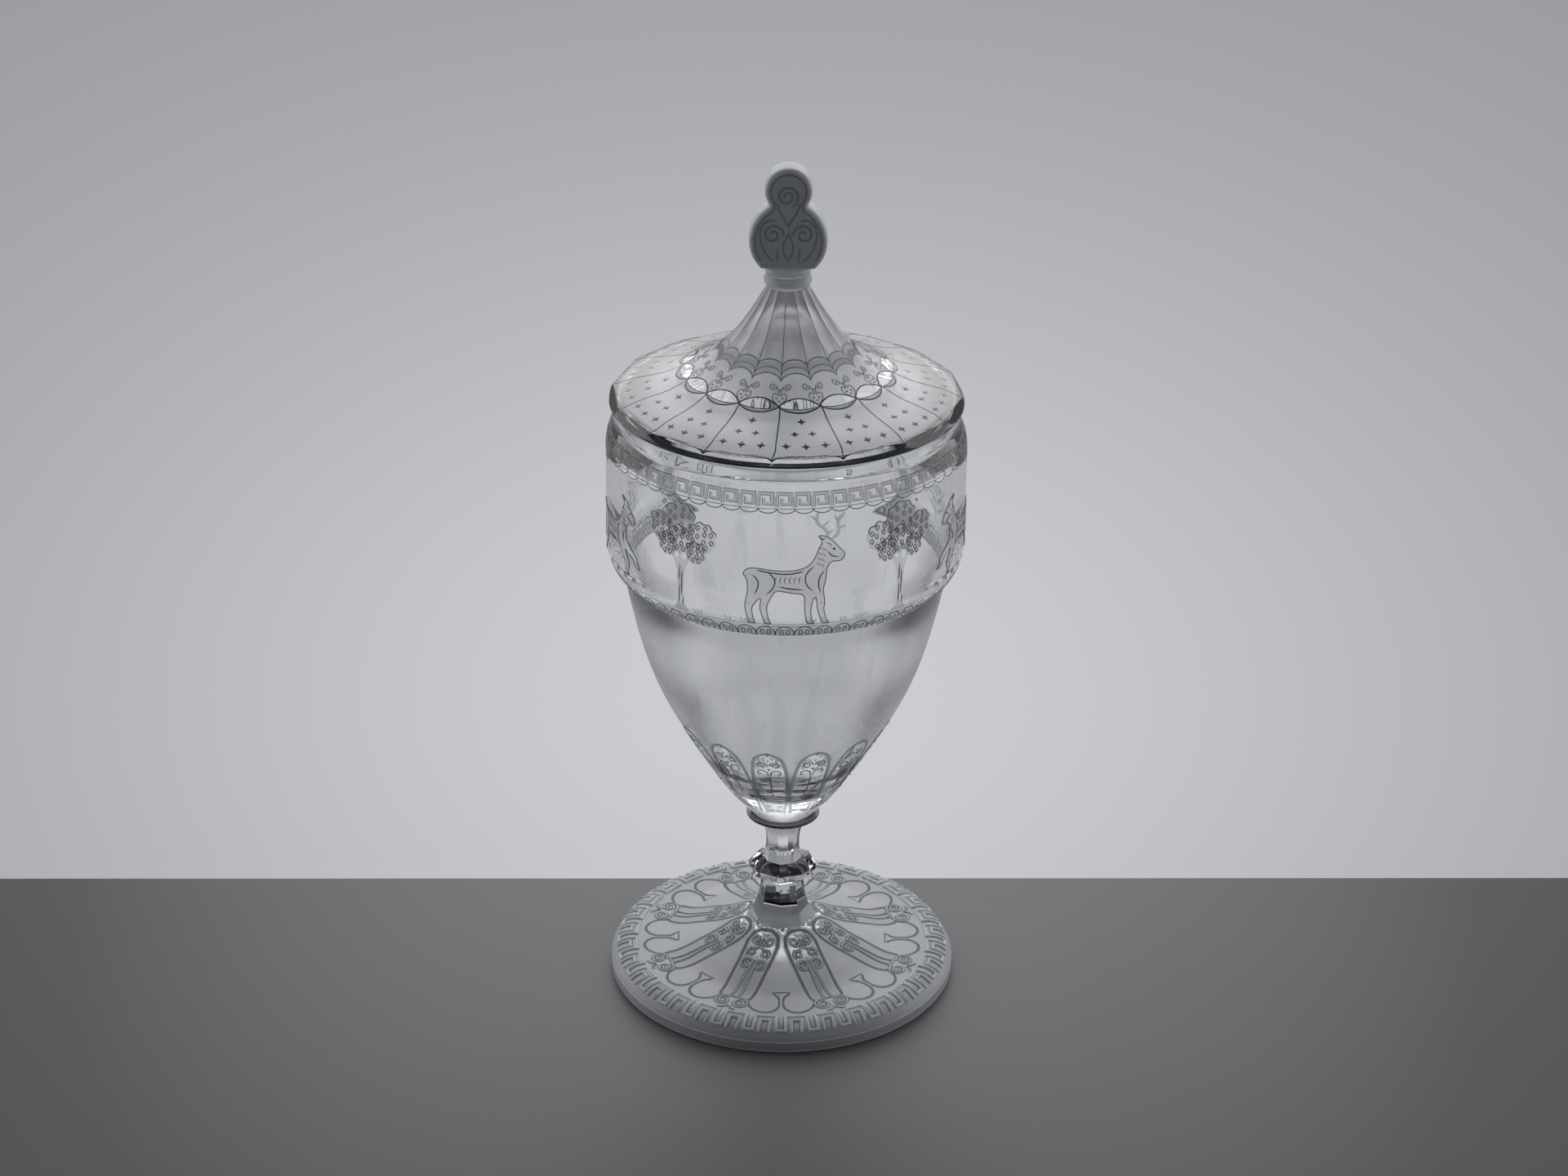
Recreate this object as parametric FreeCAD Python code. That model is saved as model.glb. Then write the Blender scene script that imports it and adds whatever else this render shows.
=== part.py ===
import FreeCAD, Part
import math
import os

# A covered goblet of thick cut glass. It stands on Z = 0 with its axis on Z.
# The front of the goblet faces -Y. All sizes are in millimetres.
# The pieces from the foot to the bowl are one hot-joined goblet. The lid, with its
# locating flange, neck rings and finial, lifts straight off.

# Foot: a thick disc with an upright edge, a rolled border and a flared top
FOOT_RADIUS = 77.8
FOOT_EDGE_HEIGHT = 5.0
FOOT_EDGE_BEVEL = 0.8
BORDER_INNER_RADIUS = 65.7
BORDER_TOP_Z = 11.2
FOOT_WELL_RADIUS = 50.0
FOOT_SLOPE_RADIUS = 39.5
FOOT_SLOPE_Z = 14.2
FOOT_FLARE_RADIUS = 29.0
FOOT_FLARE_Z = 18.0
FOOT_NECK_RADIUS = 20.5
FOOT_NECK_Z = 22.3
FOOT_TOP_Z = 24.8
STANDING_RING_INNER_RADIUS = 62.0
FOOT_DISH_DEPTH = 5.5

# Stem: eight hollow-ground facets from the foot to the collar under the bowl
FACETS = 8
FACET_TURN = -6.0
STEM_FOOT_CORNER_RADIUS = 15.0
STEM_WAIST_CORNER_RADIUS = 9.7
STEM_BASE_HEIGHT = 18.7
KNOP_UNDERCUT_CORNER_RADIUS = 10.6
KNOP_UNDERCUT_HEIGHT = 1.9
KNOP_CORNER_RADIUS = 15.15
KNOP_LOWER_BEVEL_HEIGHT = 3.6
KNOP_GIRDLE_HEIGHT = 2.6
KNOP_UPPER_BEVEL_HEIGHT = 3.1
KNOP_DRUM_FOOT_CORNER_RADIUS = 8.7
KNOP_DRUM_HEIGHT = 3.9
SHAFT_WAIST_CORNER_RADIUS = 7.4
SHAFT_WAIST_ABOVE_KNOP = 4.6
SHAFT_HEIGHT = 16.9
SHAFT_GRIND_RADIUS = 25.0

# Merese: the thin notched collar between shaft and bowl
MERESE_RADIUS = 16.4
MERESE_FOOT_RADIUS = 11.9
MERESE_UNDERSIDE_RISE = 2.0
MERESE_EDGE_HEIGHT = 1.1
MERESE_HEIGHT = 4.0
MERESE_NOTCHES = 64
MERESE_NOTCH_RADIUS = 0.75
MERESE_NOTCH_DEPTH = 0.40

# Bowl: a tapered cup with a thick overhanging band and a drawn-in mouth
BOWL_FOOT_RADIUS = 13.8
BOWL_FOOT_THICKNESS = 15.5
BOWL_WALL = 4.3
BOWL_START_RADIUS = 24.0
BOWL_START_RISE = 12.0
BOWL_LOW_RADIUS = 32.9
BOWL_LOW_RISE = 25.5
BOWL_MIDDLE_RADIUS = 44.8
BOWL_MIDDLE_RISE = 45.5
BOWL_UPPER_RADIUS = 55.0
BOWL_UPPER_RISE = 65.5
BOWL_HIGH_RADIUS = 62.1
BOWL_HIGH_RISE = 85.5
BOWL_NECK_RADIUS = 70.0
BOWL_NECK_RISE = 120.5
BAND_OVERHANG = 6.8
BAND_UNDERSIDE_HEIGHT = 12.0
BAND_STRAIGHT_HEIGHT = 45.0
BAND_INNER_STEP_RISE = 18.0
SHOULDER_DRAW_IN = 3.7
SHOULDER_HEIGHT = 12.6
LIP_HEIGHT = 7.0
LIP_WALL = 2.2
RIM_ROUNDING = 0.6

# Lid: a disc that sweeps up into a hollow fluted spire
LID_SEAT_CLEARANCE = 0.3
LID_OVERHANG = 1.9
LID_EDGE_THICKNESS = 3.1
LID_EDGE_BEVEL = 0.5
LID_EDGE_ROUNDING = 3.0
LID_EDGE_CROWN = 1.2
LID_SECTORS = 16
LID_TURN = -4.5
LID_OUTER_STATION_INSET = 8.0
LID_OUTER_STATION_RISE = 3.3
LID_INNER_STATION_OFFSET = 6.8
LID_INNER_STATION_RISE = 7.6
JUNCTION_RADIUS = 44.5
JUNCTION_RISE = 10.6
SWEEP_RADIUS = 30.9
SWEEP_RISE = 18.2
SPIRE_LOW_RADIUS = 21.6
SPIRE_LOW_RISE = 28.0
SPIRE_HIGH_RADIUS = 13.4
SPIRE_HIGH_RISE = 40.0
SPIRE_TOP_RADIUS = 8.8
SPIRE_TOP_RISE = 48.3
LID_WALL = 4.4
CAVITY_RISE = 37.0
FLUTE_DEPTH = 1.15
FLUTE_FOOT_RISE = 22.6
FLUTE_RIB_LAND = 0.10
FLUTE_RUN_IN = 3.5
FLUTE_RUN_OUT = 1.0
FLUTE_FADE_SHARE = 0.30
FLUTE_LEAST_DEPTH_SHARE = 0.25
FLUTE_TOOL_MARGIN = 6.0
RIM_FACET_TILT = 38.0

# Locating flange under the lid
FLANGE_MOUTH_CLEARANCE = 1.0
FLANGE_THICKNESS = 3.1
FLANGE_DEPTH = 8.3
FLANGE_EDGE_BEVEL = 0.7

# Two rings at the neck
LOWER_RING_RADIUS = 10.0
LOWER_RING_HEIGHT = 5.2
UPPER_RING_RADIUS = 9.75
UPPER_RING_HEIGHT = 3.8

# Finial: an upright plate with two round shoulders and a round crown
FINIAL_THICKNESS = 12.0
FINIAL_EDGE_ROUNDING = 2.2
FINIAL_FOOT_HALF_WIDTH = 11.8
FINIAL_HALF_WIDTH = 16.3
FINIAL_WIDEST_RISE = 11.4
FINIAL_WAIST_ROUNDING = 1.6
FINIAL_WAIST_HALF_WIDTH = 7.6
FINIAL_WAIST_RISE = 26.6
FINIAL_HEIGHT = 42.7


def at(radius, z):
    return FreeCAD.Vector(radius, 0, z)


def line(start, end):
    return Part.LineSegment(start, end).toShape()


def arc(start, through, end):
    return Part.Arc(start, through, end).toShape()


def cap_arc(edge, top):
    # The arc of a round cap: it meets the axis square, at the top of the cap.
    height = top.z - edge.z
    radius = (edge.x ** 2 + height ** 2) / (2.0 * height)
    half_turn = 0.5 * math.asin(edge.x / radius)
    through = at(radius * math.sin(half_turn), top.z - radius * (1.0 - math.cos(half_turn)))
    return arc(edge, through, top)


def curve(points, first_slope=None, last_slope=None):
    spline = Part.BSplineCurve()
    if first_slope is None:
        spline.interpolate(points)
    else:
        spline.interpolate(Points=points, InitialTangent=first_slope, FinalTangent=last_slope)
    return spline


def spun(edges):
    face = Part.Face(Part.Wire(edges))
    solid = face.revolve(FreeCAD.Vector(0, 0, 0), FreeCAD.Vector(0, 0, 1), 360)
    return Part.makeSolid(solid.Shells[0]) if solid.ShapeType != "Solid" else solid


def turned(shape, degrees):
    copy = shape.copy()
    copy.rotate(FreeCAD.Vector(0, 0, 0), FreeCAD.Vector(0, 0, 1), degrees)
    return copy


def ring_of(shape, count, first_degrees):
    return [turned(shape, first_degrees + 360.0 * index / count) for index in range(count)]


def facet_wire(corner_radius, z):
    points = []
    for index in range(FACETS + 1):
        angle = math.radians(-90.0 + FACET_TURN + 360.0 * index / FACETS)
        points.append(FreeCAD.Vector(corner_radius * math.cos(angle), corner_radius * math.sin(angle), z))
    return Part.makePolygon(points)


def flat_distance(corner_radius):
    return corner_radius * math.cos(math.pi / FACETS)


def ground_bar(bar_radius, bottom_z, top_z, waist_distance, waist_z, wheel_radius):
    # A round bar ground with a wheel on every side, which leaves hollow facets.
    bar = Part.makeCylinder(bar_radius, top_z - bottom_z, at(0, bottom_z))
    length = 6.0 * bar_radius
    centre = FreeCAD.Vector(waist_distance + wheel_radius, -length / 2.0, waist_z)
    wheel = Part.makeCylinder(wheel_radius, length, centre, FreeCAD.Vector(0, 1, 0))
    first = -90.0 + FACET_TURN + 180.0 / FACETS
    return bar.cut(ring_of(wheel, FACETS, first))


def foot():
    edge_top = at(FOOT_RADIUS, FOOT_EDGE_HEIGHT)
    border_inner = at(BORDER_INNER_RADIUS, BORDER_TOP_Z)
    border_width = FOOT_RADIUS - BORDER_INNER_RADIUS
    border_height = BORDER_TOP_Z - FOOT_EDGE_HEIGHT
    border_crown = at(FOOT_RADIUS - 0.26 * border_width, FOOT_EDGE_HEIGHT + 0.66 * border_height)
    well = at(FOOT_WELL_RADIUS, BORDER_TOP_Z)
    slope = at(FOOT_SLOPE_RADIUS, FOOT_SLOPE_Z)
    flare = at(FOOT_FLARE_RADIUS, FOOT_FLARE_Z)
    neck = at(FOOT_NECK_RADIUS, FOOT_NECK_Z)
    top = at(STEM_FOOT_CORNER_RADIUS, FOOT_TOP_Z)
    rise = curve([well, slope, flare, neck, top], FreeCAD.Vector(-1, 0, 0), top - neck)
    dish_edge = at(STANDING_RING_INNER_RADIUS, 0)
    dish_top = at(0, FOOT_DISH_DEPTH)
    return spun([
        line(at(0, FOOT_TOP_Z), top),
        rise.toShape(),
        line(well, border_inner),
        arc(border_inner, border_crown, edge_top),
        line(edge_top, at(FOOT_RADIUS, FOOT_EDGE_BEVEL)),
        line(at(FOOT_RADIUS, FOOT_EDGE_BEVEL), at(FOOT_RADIUS - FOOT_EDGE_BEVEL, 0)),
        line(at(FOOT_RADIUS - FOOT_EDGE_BEVEL, 0), dish_edge),
        cap_arc(dish_edge, dish_top),
        line(dish_top, at(0, FOOT_TOP_Z)),
    ])


KNOP_BOTTOM_Z = FOOT_TOP_Z + STEM_BASE_HEIGHT
KNOP_UNDERCUT_Z = KNOP_BOTTOM_Z + KNOP_UNDERCUT_HEIGHT
KNOP_GIRDLE_Z = KNOP_UNDERCUT_Z + KNOP_LOWER_BEVEL_HEIGHT
KNOP_SHELF_Z = KNOP_GIRDLE_Z + KNOP_GIRDLE_HEIGHT
KNOP_DRUM_Z = KNOP_SHELF_Z + KNOP_UPPER_BEVEL_HEIGHT
KNOP_TOP_Z = KNOP_DRUM_Z + KNOP_DRUM_HEIGHT
SHAFT_TOP_Z = KNOP_TOP_Z + SHAFT_HEIGHT
BOWL_BOTTOM_Z = SHAFT_TOP_Z + MERESE_HEIGHT
BAND_BOTTOM_Z = BOWL_BOTTOM_Z + BOWL_NECK_RISE
BAND_RADIUS = BOWL_NECK_RADIUS + BAND_OVERHANG
SHOULDER_Z = BAND_BOTTOM_Z + BAND_UNDERSIDE_HEIGHT + BAND_STRAIGHT_HEIGHT
LIP_Z = SHOULDER_Z + SHOULDER_HEIGHT
RIM_TOP_Z = LIP_Z + LIP_HEIGHT
MOUTH_OUTER_RADIUS = BAND_RADIUS - SHOULDER_DRAW_IN
MOUTH_INNER_RADIUS = MOUTH_OUTER_RADIUS - LIP_WALL
BOWL_INNER_BOTTOM_Z = BOWL_BOTTOM_Z + BOWL_FOOT_THICKNESS


def shaft_foot_corner_radius():
    drop = SHAFT_GRIND_RADIUS - math.sqrt(SHAFT_GRIND_RADIUS ** 2 - SHAFT_WAIST_ABOVE_KNOP ** 2)
    return (flat_distance(SHAFT_WAIST_CORNER_RADIUS) + drop) / flat_distance(1.0)


def stem_base():
    waist = flat_distance(STEM_WAIST_CORNER_RADIUS)
    spread = flat_distance(STEM_FOOT_CORNER_RADIUS) - waist
    wheel_radius = (STEM_BASE_HEIGHT ** 2 + spread ** 2) / (2.0 * spread)
    return ground_bar(STEM_FOOT_CORNER_RADIUS + 1.0, FOOT_TOP_Z, KNOP_BOTTOM_Z,
                      waist, KNOP_BOTTOM_Z, wheel_radius)


def knop():
    stations = [
        facet_wire(STEM_WAIST_CORNER_RADIUS, KNOP_BOTTOM_Z),
        facet_wire(KNOP_UNDERCUT_CORNER_RADIUS, KNOP_UNDERCUT_Z),
        facet_wire(KNOP_CORNER_RADIUS, KNOP_GIRDLE_Z),
        facet_wire(KNOP_CORNER_RADIUS, KNOP_SHELF_Z),
        facet_wire(KNOP_DRUM_FOOT_CORNER_RADIUS, KNOP_DRUM_Z),
        facet_wire(shaft_foot_corner_radius(), KNOP_TOP_Z),
    ]
    return Part.makeLoft(stations, True, True)


def stem_shaft():
    return ground_bar(MERESE_FOOT_RADIUS, KNOP_TOP_Z, SHAFT_TOP_Z,
                      flat_distance(SHAFT_WAIST_CORNER_RADIUS),
                      KNOP_TOP_Z + SHAFT_WAIST_ABOVE_KNOP, SHAFT_GRIND_RADIUS)


def merese():
    edge_z = SHAFT_TOP_Z + MERESE_UNDERSIDE_RISE
    edge_top_z = edge_z + MERESE_EDGE_HEIGHT
    shoulder = at(MERESE_RADIUS - 0.8, edge_top_z + 0.4)
    collar = spun([
        line(at(0, SHAFT_TOP_Z), at(MERESE_FOOT_RADIUS, SHAFT_TOP_Z)),
        line(at(MERESE_FOOT_RADIUS, SHAFT_TOP_Z), at(MERESE_RADIUS, edge_z)),
        line(at(MERESE_RADIUS, edge_z), at(MERESE_RADIUS, edge_top_z)),
        line(at(MERESE_RADIUS, edge_top_z), shoulder),
        line(shoulder, at(BOWL_FOOT_RADIUS, BOWL_BOTTOM_Z)),
        line(at(BOWL_FOOT_RADIUS, BOWL_BOTTOM_Z), at(0, BOWL_BOTTOM_Z)),
        line(at(0, BOWL_BOTTOM_Z), at(0, SHAFT_TOP_Z)),
    ])
    notch_centre = MERESE_RADIUS + MERESE_NOTCH_RADIUS - MERESE_NOTCH_DEPTH
    notch = Part.makeCylinder(MERESE_NOTCH_RADIUS, MERESE_UNDERSIDE_RISE + MERESE_EDGE_HEIGHT,
                              at(notch_centre, SHAFT_TOP_Z - 0.5))
    return collar.cut(ring_of(notch, MERESE_NOTCHES, 0.0))


def bowl_outside():
    return curve([
        at(BOWL_FOOT_RADIUS, BOWL_BOTTOM_Z),
        at(BOWL_START_RADIUS, BOWL_BOTTOM_Z + BOWL_START_RISE),
        at(BOWL_LOW_RADIUS, BOWL_BOTTOM_Z + BOWL_LOW_RISE),
        at(BOWL_MIDDLE_RADIUS, BOWL_BOTTOM_Z + BOWL_MIDDLE_RISE),
        at(BOWL_UPPER_RADIUS, BOWL_BOTTOM_Z + BOWL_UPPER_RISE),
        at(BOWL_HIGH_RADIUS, BOWL_BOTTOM_Z + BOWL_HIGH_RISE),
        at(BOWL_NECK_RADIUS, BAND_BOTTOM_Z),
    ])


def inward(outside, share, distance):
    # A point of the inner wall, square to the outer curve at a share of its length.
    first = outside.FirstParameter
    last = outside.LastParameter
    parameter = first + share * (last - first)
    point = outside.value(parameter)
    tangent = outside.tangent(parameter)[0]
    normal = FreeCAD.Vector(-tangent.z, 0, tangent.x)
    normal.normalize()
    return point + normal * distance


def bowl():
    outside = bowl_outside()
    neck = at(BOWL_NECK_RADIUS, BAND_BOTTOM_Z)
    band_turn = at(BOWL_NECK_RADIUS + 0.66 * BAND_OVERHANG, BAND_BOTTOM_Z + 0.44 * BAND_UNDERSIDE_HEIGHT)
    band_bottom = at(BAND_RADIUS, BAND_BOTTOM_Z + BAND_UNDERSIDE_HEIGHT)
    band_top = at(BAND_RADIUS, SHOULDER_Z)
    shoulder_turn = at(BAND_RADIUS - 0.36 * SHOULDER_DRAW_IN, SHOULDER_Z + 0.58 * SHOULDER_HEIGHT)
    shoulder = at(MOUTH_OUTER_RADIUS, LIP_Z)
    lip_outer = at(MOUTH_OUTER_RADIUS, RIM_TOP_Z - RIM_ROUNDING)
    lip_top_outer = at(MOUTH_OUTER_RADIUS - RIM_ROUNDING, RIM_TOP_Z)
    lip_top_inner = at(MOUTH_INNER_RADIUS + RIM_ROUNDING, RIM_TOP_Z)
    lip_inner = at(MOUTH_INNER_RADIUS, RIM_TOP_Z - RIM_ROUNDING)
    corner = RIM_ROUNDING * (1.0 - math.sqrt(0.5))
    inner_top = at(MOUTH_INNER_RADIUS, BAND_BOTTOM_Z + BAND_INNER_STEP_RISE)
    inner_points = [inner_top]
    for share in (0.93, 0.70, 0.45, 0.24):
        inner_points.append(inward(outside, share, BOWL_WALL))
    inner_points.append(at(0, BOWL_INNER_BOTTOM_Z))
    inside = curve(inner_points, FreeCAD.Vector(0, 0, -1), FreeCAD.Vector(-1, 0, 0))
    return spun([
        line(at(0, BOWL_BOTTOM_Z), at(BOWL_FOOT_RADIUS, BOWL_BOTTOM_Z)),
        outside.toShape(),
        arc(neck, band_turn, band_bottom),
        line(band_bottom, band_top),
        arc(band_top, shoulder_turn, shoulder),
        line(shoulder, lip_outer),
        arc(lip_outer, at(MOUTH_OUTER_RADIUS - corner, RIM_TOP_Z - corner), lip_top_outer),
        line(lip_top_outer, lip_top_inner),
        arc(lip_top_inner, at(MOUTH_INNER_RADIUS + corner, RIM_TOP_Z - corner), lip_inner),
        line(lip_inner, inner_top),
        inside.toShape(),
        line(at(0, BOWL_INNER_BOTTOM_Z), at(0, BOWL_BOTTOM_Z)),
    ])


LID_RADIUS = MOUTH_OUTER_RADIUS + LID_OVERHANG
LID_SEAT_Z = RIM_TOP_Z + LID_SEAT_CLEARANCE
LID_EDGE_Z = LID_SEAT_Z + LID_EDGE_THICKNESS
FLANGE_RADIUS = MOUTH_INNER_RADIUS - FLANGE_MOUTH_CLEARANCE
FLANGE_INNER_RADIUS = FLANGE_RADIUS - FLANGE_THICKNESS
SPIRE_TOP_Z = LID_EDGE_Z + SPIRE_TOP_RISE


def lid_outside():
    return curve([
        at(LID_RADIUS - LID_EDGE_ROUNDING, LID_EDGE_Z + LID_EDGE_CROWN),
        at(LID_RADIUS - LID_OUTER_STATION_INSET, LID_EDGE_Z + LID_OUTER_STATION_RISE),
        at(JUNCTION_RADIUS + LID_INNER_STATION_OFFSET, LID_EDGE_Z + LID_INNER_STATION_RISE),
        at(JUNCTION_RADIUS, LID_EDGE_Z + JUNCTION_RISE),
        at(SWEEP_RADIUS, LID_EDGE_Z + SWEEP_RISE),
        at(SPIRE_LOW_RADIUS, LID_EDGE_Z + SPIRE_LOW_RISE),
        at(SPIRE_HIGH_RADIUS, LID_EDGE_Z + SPIRE_HIGH_RISE),
        at(SPIRE_TOP_RADIUS, SPIRE_TOP_Z),
    ])


def radius_at(outside, z):
    low = outside.FirstParameter
    high = outside.LastParameter
    for _ in range(40):
        middle = 0.5 * (low + high)
        if outside.value(middle).z < z:
            low = middle
        else:
            high = middle
    return outside.value(low).x


def lobed_wire(rib_radius, valley_radius, z):
    edges = []
    step = 2.0 * math.pi / LID_SECTORS
    start = math.radians(-90.0 + LID_TURN)
    for index in range(LID_SECTORS):
        points = []
        for share, radius in ((0.0, rib_radius), (0.5, valley_radius), (1.0, rib_radius)):
            angle = start + (index + share) * step
            points.append(FreeCAD.Vector(radius * math.cos(angle), radius * math.sin(angle), z))
        edges.append(Part.Arc(points[0], points[1], points[2]).toShape())
    return Part.Wire(edges)


def flute_tool(outside):
    # What lies outside the hollows between the ribs of the spire.
    foot_z = LID_EDGE_Z + FLUTE_FOOT_RISE
    top_z = SPIRE_TOP_Z + FLUTE_RUN_OUT
    below_z = foot_z - FLUTE_RUN_IN
    wires = []
    for height_share in (0.0, 0.12, 0.28, 0.46, 0.66, 0.84, 1.0):
        z = below_z + height_share * (top_z - below_z)
        radius = radius_at(outside, min(z, SPIRE_TOP_Z))
        fade = min(1.0, max(-0.5, (z - foot_z) / (FLUTE_FADE_SHARE * (top_z - foot_z))))
        narrowing = radius / SPIRE_LOW_RADIUS
        share = FLUTE_LEAST_DEPTH_SHARE + (1.0 - FLUTE_LEAST_DEPTH_SHARE) * narrowing
        depth = FLUTE_DEPTH * fade * min(1.0, share)
        wires.append(lobed_wire(radius + FLUTE_RIB_LAND, radius - depth, z))
    core = Part.makeLoft(wires, True, False)
    block = Part.makeCylinder(SWEEP_RADIUS + FLUTE_TOOL_MARGIN, top_z - below_z, at(0, below_z))
    return block.cut(core)


def rim_facet_tools():
    # Flat facets ground on the rounded edge, one for each sector. Each dies out on
    # the edge exactly where two sectors meet, which gives it the outline of a lens.
    tilt = math.radians(RIM_FACET_TILT)
    half_sector = math.pi / LID_SECTORS
    centre_radius = LID_RADIUS - LID_EDGE_ROUNDING
    centre_z = LID_EDGE_Z + LID_EDGE_CROWN - LID_EDGE_ROUNDING
    level = math.cos(half_sector) * math.cos(tilt)
    distance = centre_radius * level + centre_z * math.sin(tilt)
    distance += LID_EDGE_ROUNDING * math.hypot(level, math.sin(tilt))
    size = LID_RADIUS
    block = Part.makeBox(size, size, size, FreeCAD.Vector(0, -size / 2.0, -size / 2.0))
    # The flat is placed square to its normal, near the edge that it grinds.
    along = centre_radius * math.sin(tilt) - centre_z * math.cos(tilt)
    block.translate(FreeCAD.Vector(distance, 0, -along))
    block.rotate(FreeCAD.Vector(0, 0, 0), FreeCAD.Vector(0, 1, 0), -RIM_FACET_TILT)
    first = -90.0 + LID_TURN + math.degrees(half_sector)
    return ring_of(block, LID_SECTORS, first)


def lid_cover():
    outside = lid_outside()
    edge_bottom = at(LID_RADIUS, LID_SEAT_Z + LID_EDGE_BEVEL)
    crown = at(LID_RADIUS - LID_EDGE_ROUNDING, LID_EDGE_Z + LID_EDGE_CROWN)
    side_top = at(LID_RADIUS, crown.z - LID_EDGE_ROUNDING)
    corner = LID_EDGE_ROUNDING * (1.0 - math.sqrt(0.5))
    turn = at(LID_RADIUS - corner, crown.z - corner)
    cavity_edge = at(FLANGE_INNER_RADIUS, LID_SEAT_Z)
    cavity = curve(
        [cavity_edge, inward(outside, 0.19, LID_WALL), inward(outside, 0.35, LID_WALL),
         inward(outside, 0.50, LID_WALL), inward(outside, 0.64, LID_WALL),
         inward(outside, 0.76, LID_WALL + 0.6), at(0, LID_EDGE_Z + CAVITY_RISE)],
        FreeCAD.Vector(-0.75, 0, 0.66), FreeCAD.Vector(-1, 0, 0))
    cover = spun([
        line(at(0, SPIRE_TOP_Z), at(SPIRE_TOP_RADIUS, SPIRE_TOP_Z)),
        outside.toShape(),
        arc(crown, turn, side_top),
        line(side_top, edge_bottom),
        line(edge_bottom, at(LID_RADIUS - LID_EDGE_BEVEL, LID_SEAT_Z)),
        line(at(LID_RADIUS - LID_EDGE_BEVEL, LID_SEAT_Z), cavity_edge),
        cavity.toShape(),
        line(at(0, LID_EDGE_Z + CAVITY_RISE), at(0, SPIRE_TOP_Z)),
    ])
    cover = cover.cut(flute_tool(outside))
    for facet in rim_facet_tools():
        cover = cover.cut(facet)
    return cover


def lid_flange():
    bottom_z = LID_SEAT_Z - FLANGE_DEPTH
    return spun([
        line(at(FLANGE_INNER_RADIUS, LID_SEAT_Z), at(FLANGE_RADIUS, LID_SEAT_Z)),
        line(at(FLANGE_RADIUS, LID_SEAT_Z), at(FLANGE_RADIUS, bottom_z + FLANGE_EDGE_BEVEL)),
        line(at(FLANGE_RADIUS, bottom_z + FLANGE_EDGE_BEVEL), at(FLANGE_RADIUS - FLANGE_EDGE_BEVEL, bottom_z)),
        line(at(FLANGE_RADIUS - FLANGE_EDGE_BEVEL, bottom_z), at(FLANGE_INNER_RADIUS + FLANGE_EDGE_BEVEL, bottom_z)),
        line(at(FLANGE_INNER_RADIUS + FLANGE_EDGE_BEVEL, bottom_z), at(FLANGE_INNER_RADIUS, bottom_z + FLANGE_EDGE_BEVEL)),
        line(at(FLANGE_INNER_RADIUS, bottom_z + FLANGE_EDGE_BEVEL), at(FLANGE_INNER_RADIUS, LID_SEAT_Z)),
    ])


UPPER_RING_Z = SPIRE_TOP_Z + LOWER_RING_HEIGHT
FINIAL_Z = UPPER_RING_Z + UPPER_RING_HEIGHT


def neck_ring(bottom_z, height, radius):
    top_z = bottom_z + height
    return spun([
        line(at(0, bottom_z), at(SPIRE_TOP_RADIUS, bottom_z)),
        arc(at(SPIRE_TOP_RADIUS, bottom_z), at(radius, bottom_z + height / 2.0), at(SPIRE_TOP_RADIUS, top_z)),
        line(at(SPIRE_TOP_RADIUS, top_z), at(0, top_z)),
        line(at(0, top_z), at(0, bottom_z)),
    ])


def side_arc(widest, end):
    # The arc that leaves the widest point upright and runs to the other point.
    across = widest.x - end.x
    along = end.z - widest.z
    radius = (across ** 2 + along ** 2) / (2.0 * across)
    centre_x = widest.x - radius
    half_turn = 0.5 * math.atan2(along, end.x - centre_x)
    through = at(centre_x + radius * math.cos(half_turn), widest.z + radius * math.sin(half_turn))
    return arc(widest, through, end)


def finial():
    foot_right = at(FINIAL_FOOT_HALF_WIDTH, FINIAL_Z)
    widest_right = at(FINIAL_HALF_WIDTH, FINIAL_Z + FINIAL_WIDEST_RISE)
    waist_right = at(FINIAL_WAIST_HALF_WIDTH, FINIAL_Z + FINIAL_WAIST_RISE)
    crown = at(0, FINIAL_Z + FINIAL_HEIGHT)
    waist_left = at(-FINIAL_WAIST_HALF_WIDTH, FINIAL_Z + FINIAL_WAIST_RISE)
    half = [side_arc(widest_right, foot_right), side_arc(widest_right, waist_right)]
    other_half = [edge.mirror(FreeCAD.Vector(0, 0, 0), FreeCAD.Vector(1, 0, 0)) for edge in half]
    base = line(foot_right, at(-FINIAL_FOOT_HALF_WIDTH, FINIAL_Z))
    outline = Part.Wire(Part.sortEdges(half + other_half + [base, arc(waist_right, crown, waist_left)])[0])
    outline.translate(FreeCAD.Vector(0, -FINIAL_THICKNESS / 2.0, 0))
    plate = Part.Face(outline).extrude(FreeCAD.Vector(0, FINIAL_THICKNESS, 0))
    waist_edges = []
    for edge in plate.Edges:
        middle = edge.CenterOfMass
        upright = abs(middle.y) < 1e-6 and edge.Length > FINIAL_THICKNESS - 1e-6
        if upright and abs(middle.z - waist_right.z) < 1e-6:
            waist_edges.append(edge)
    plate = plate.makeFillet(FINIAL_WAIST_ROUNDING, waist_edges)
    rim_edges = []
    for edge in plate.Edges:
        on_face = abs(abs(edge.CenterOfMass.y) - FINIAL_THICKNESS / 2.0) < 1e-6
        if on_face and edge.CenterOfMass.z > FINIAL_Z + 1e-6:
            rim_edges.append(edge)
    return plate.makeFillet(FINIAL_EDGE_ROUNDING, rim_edges)


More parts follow.
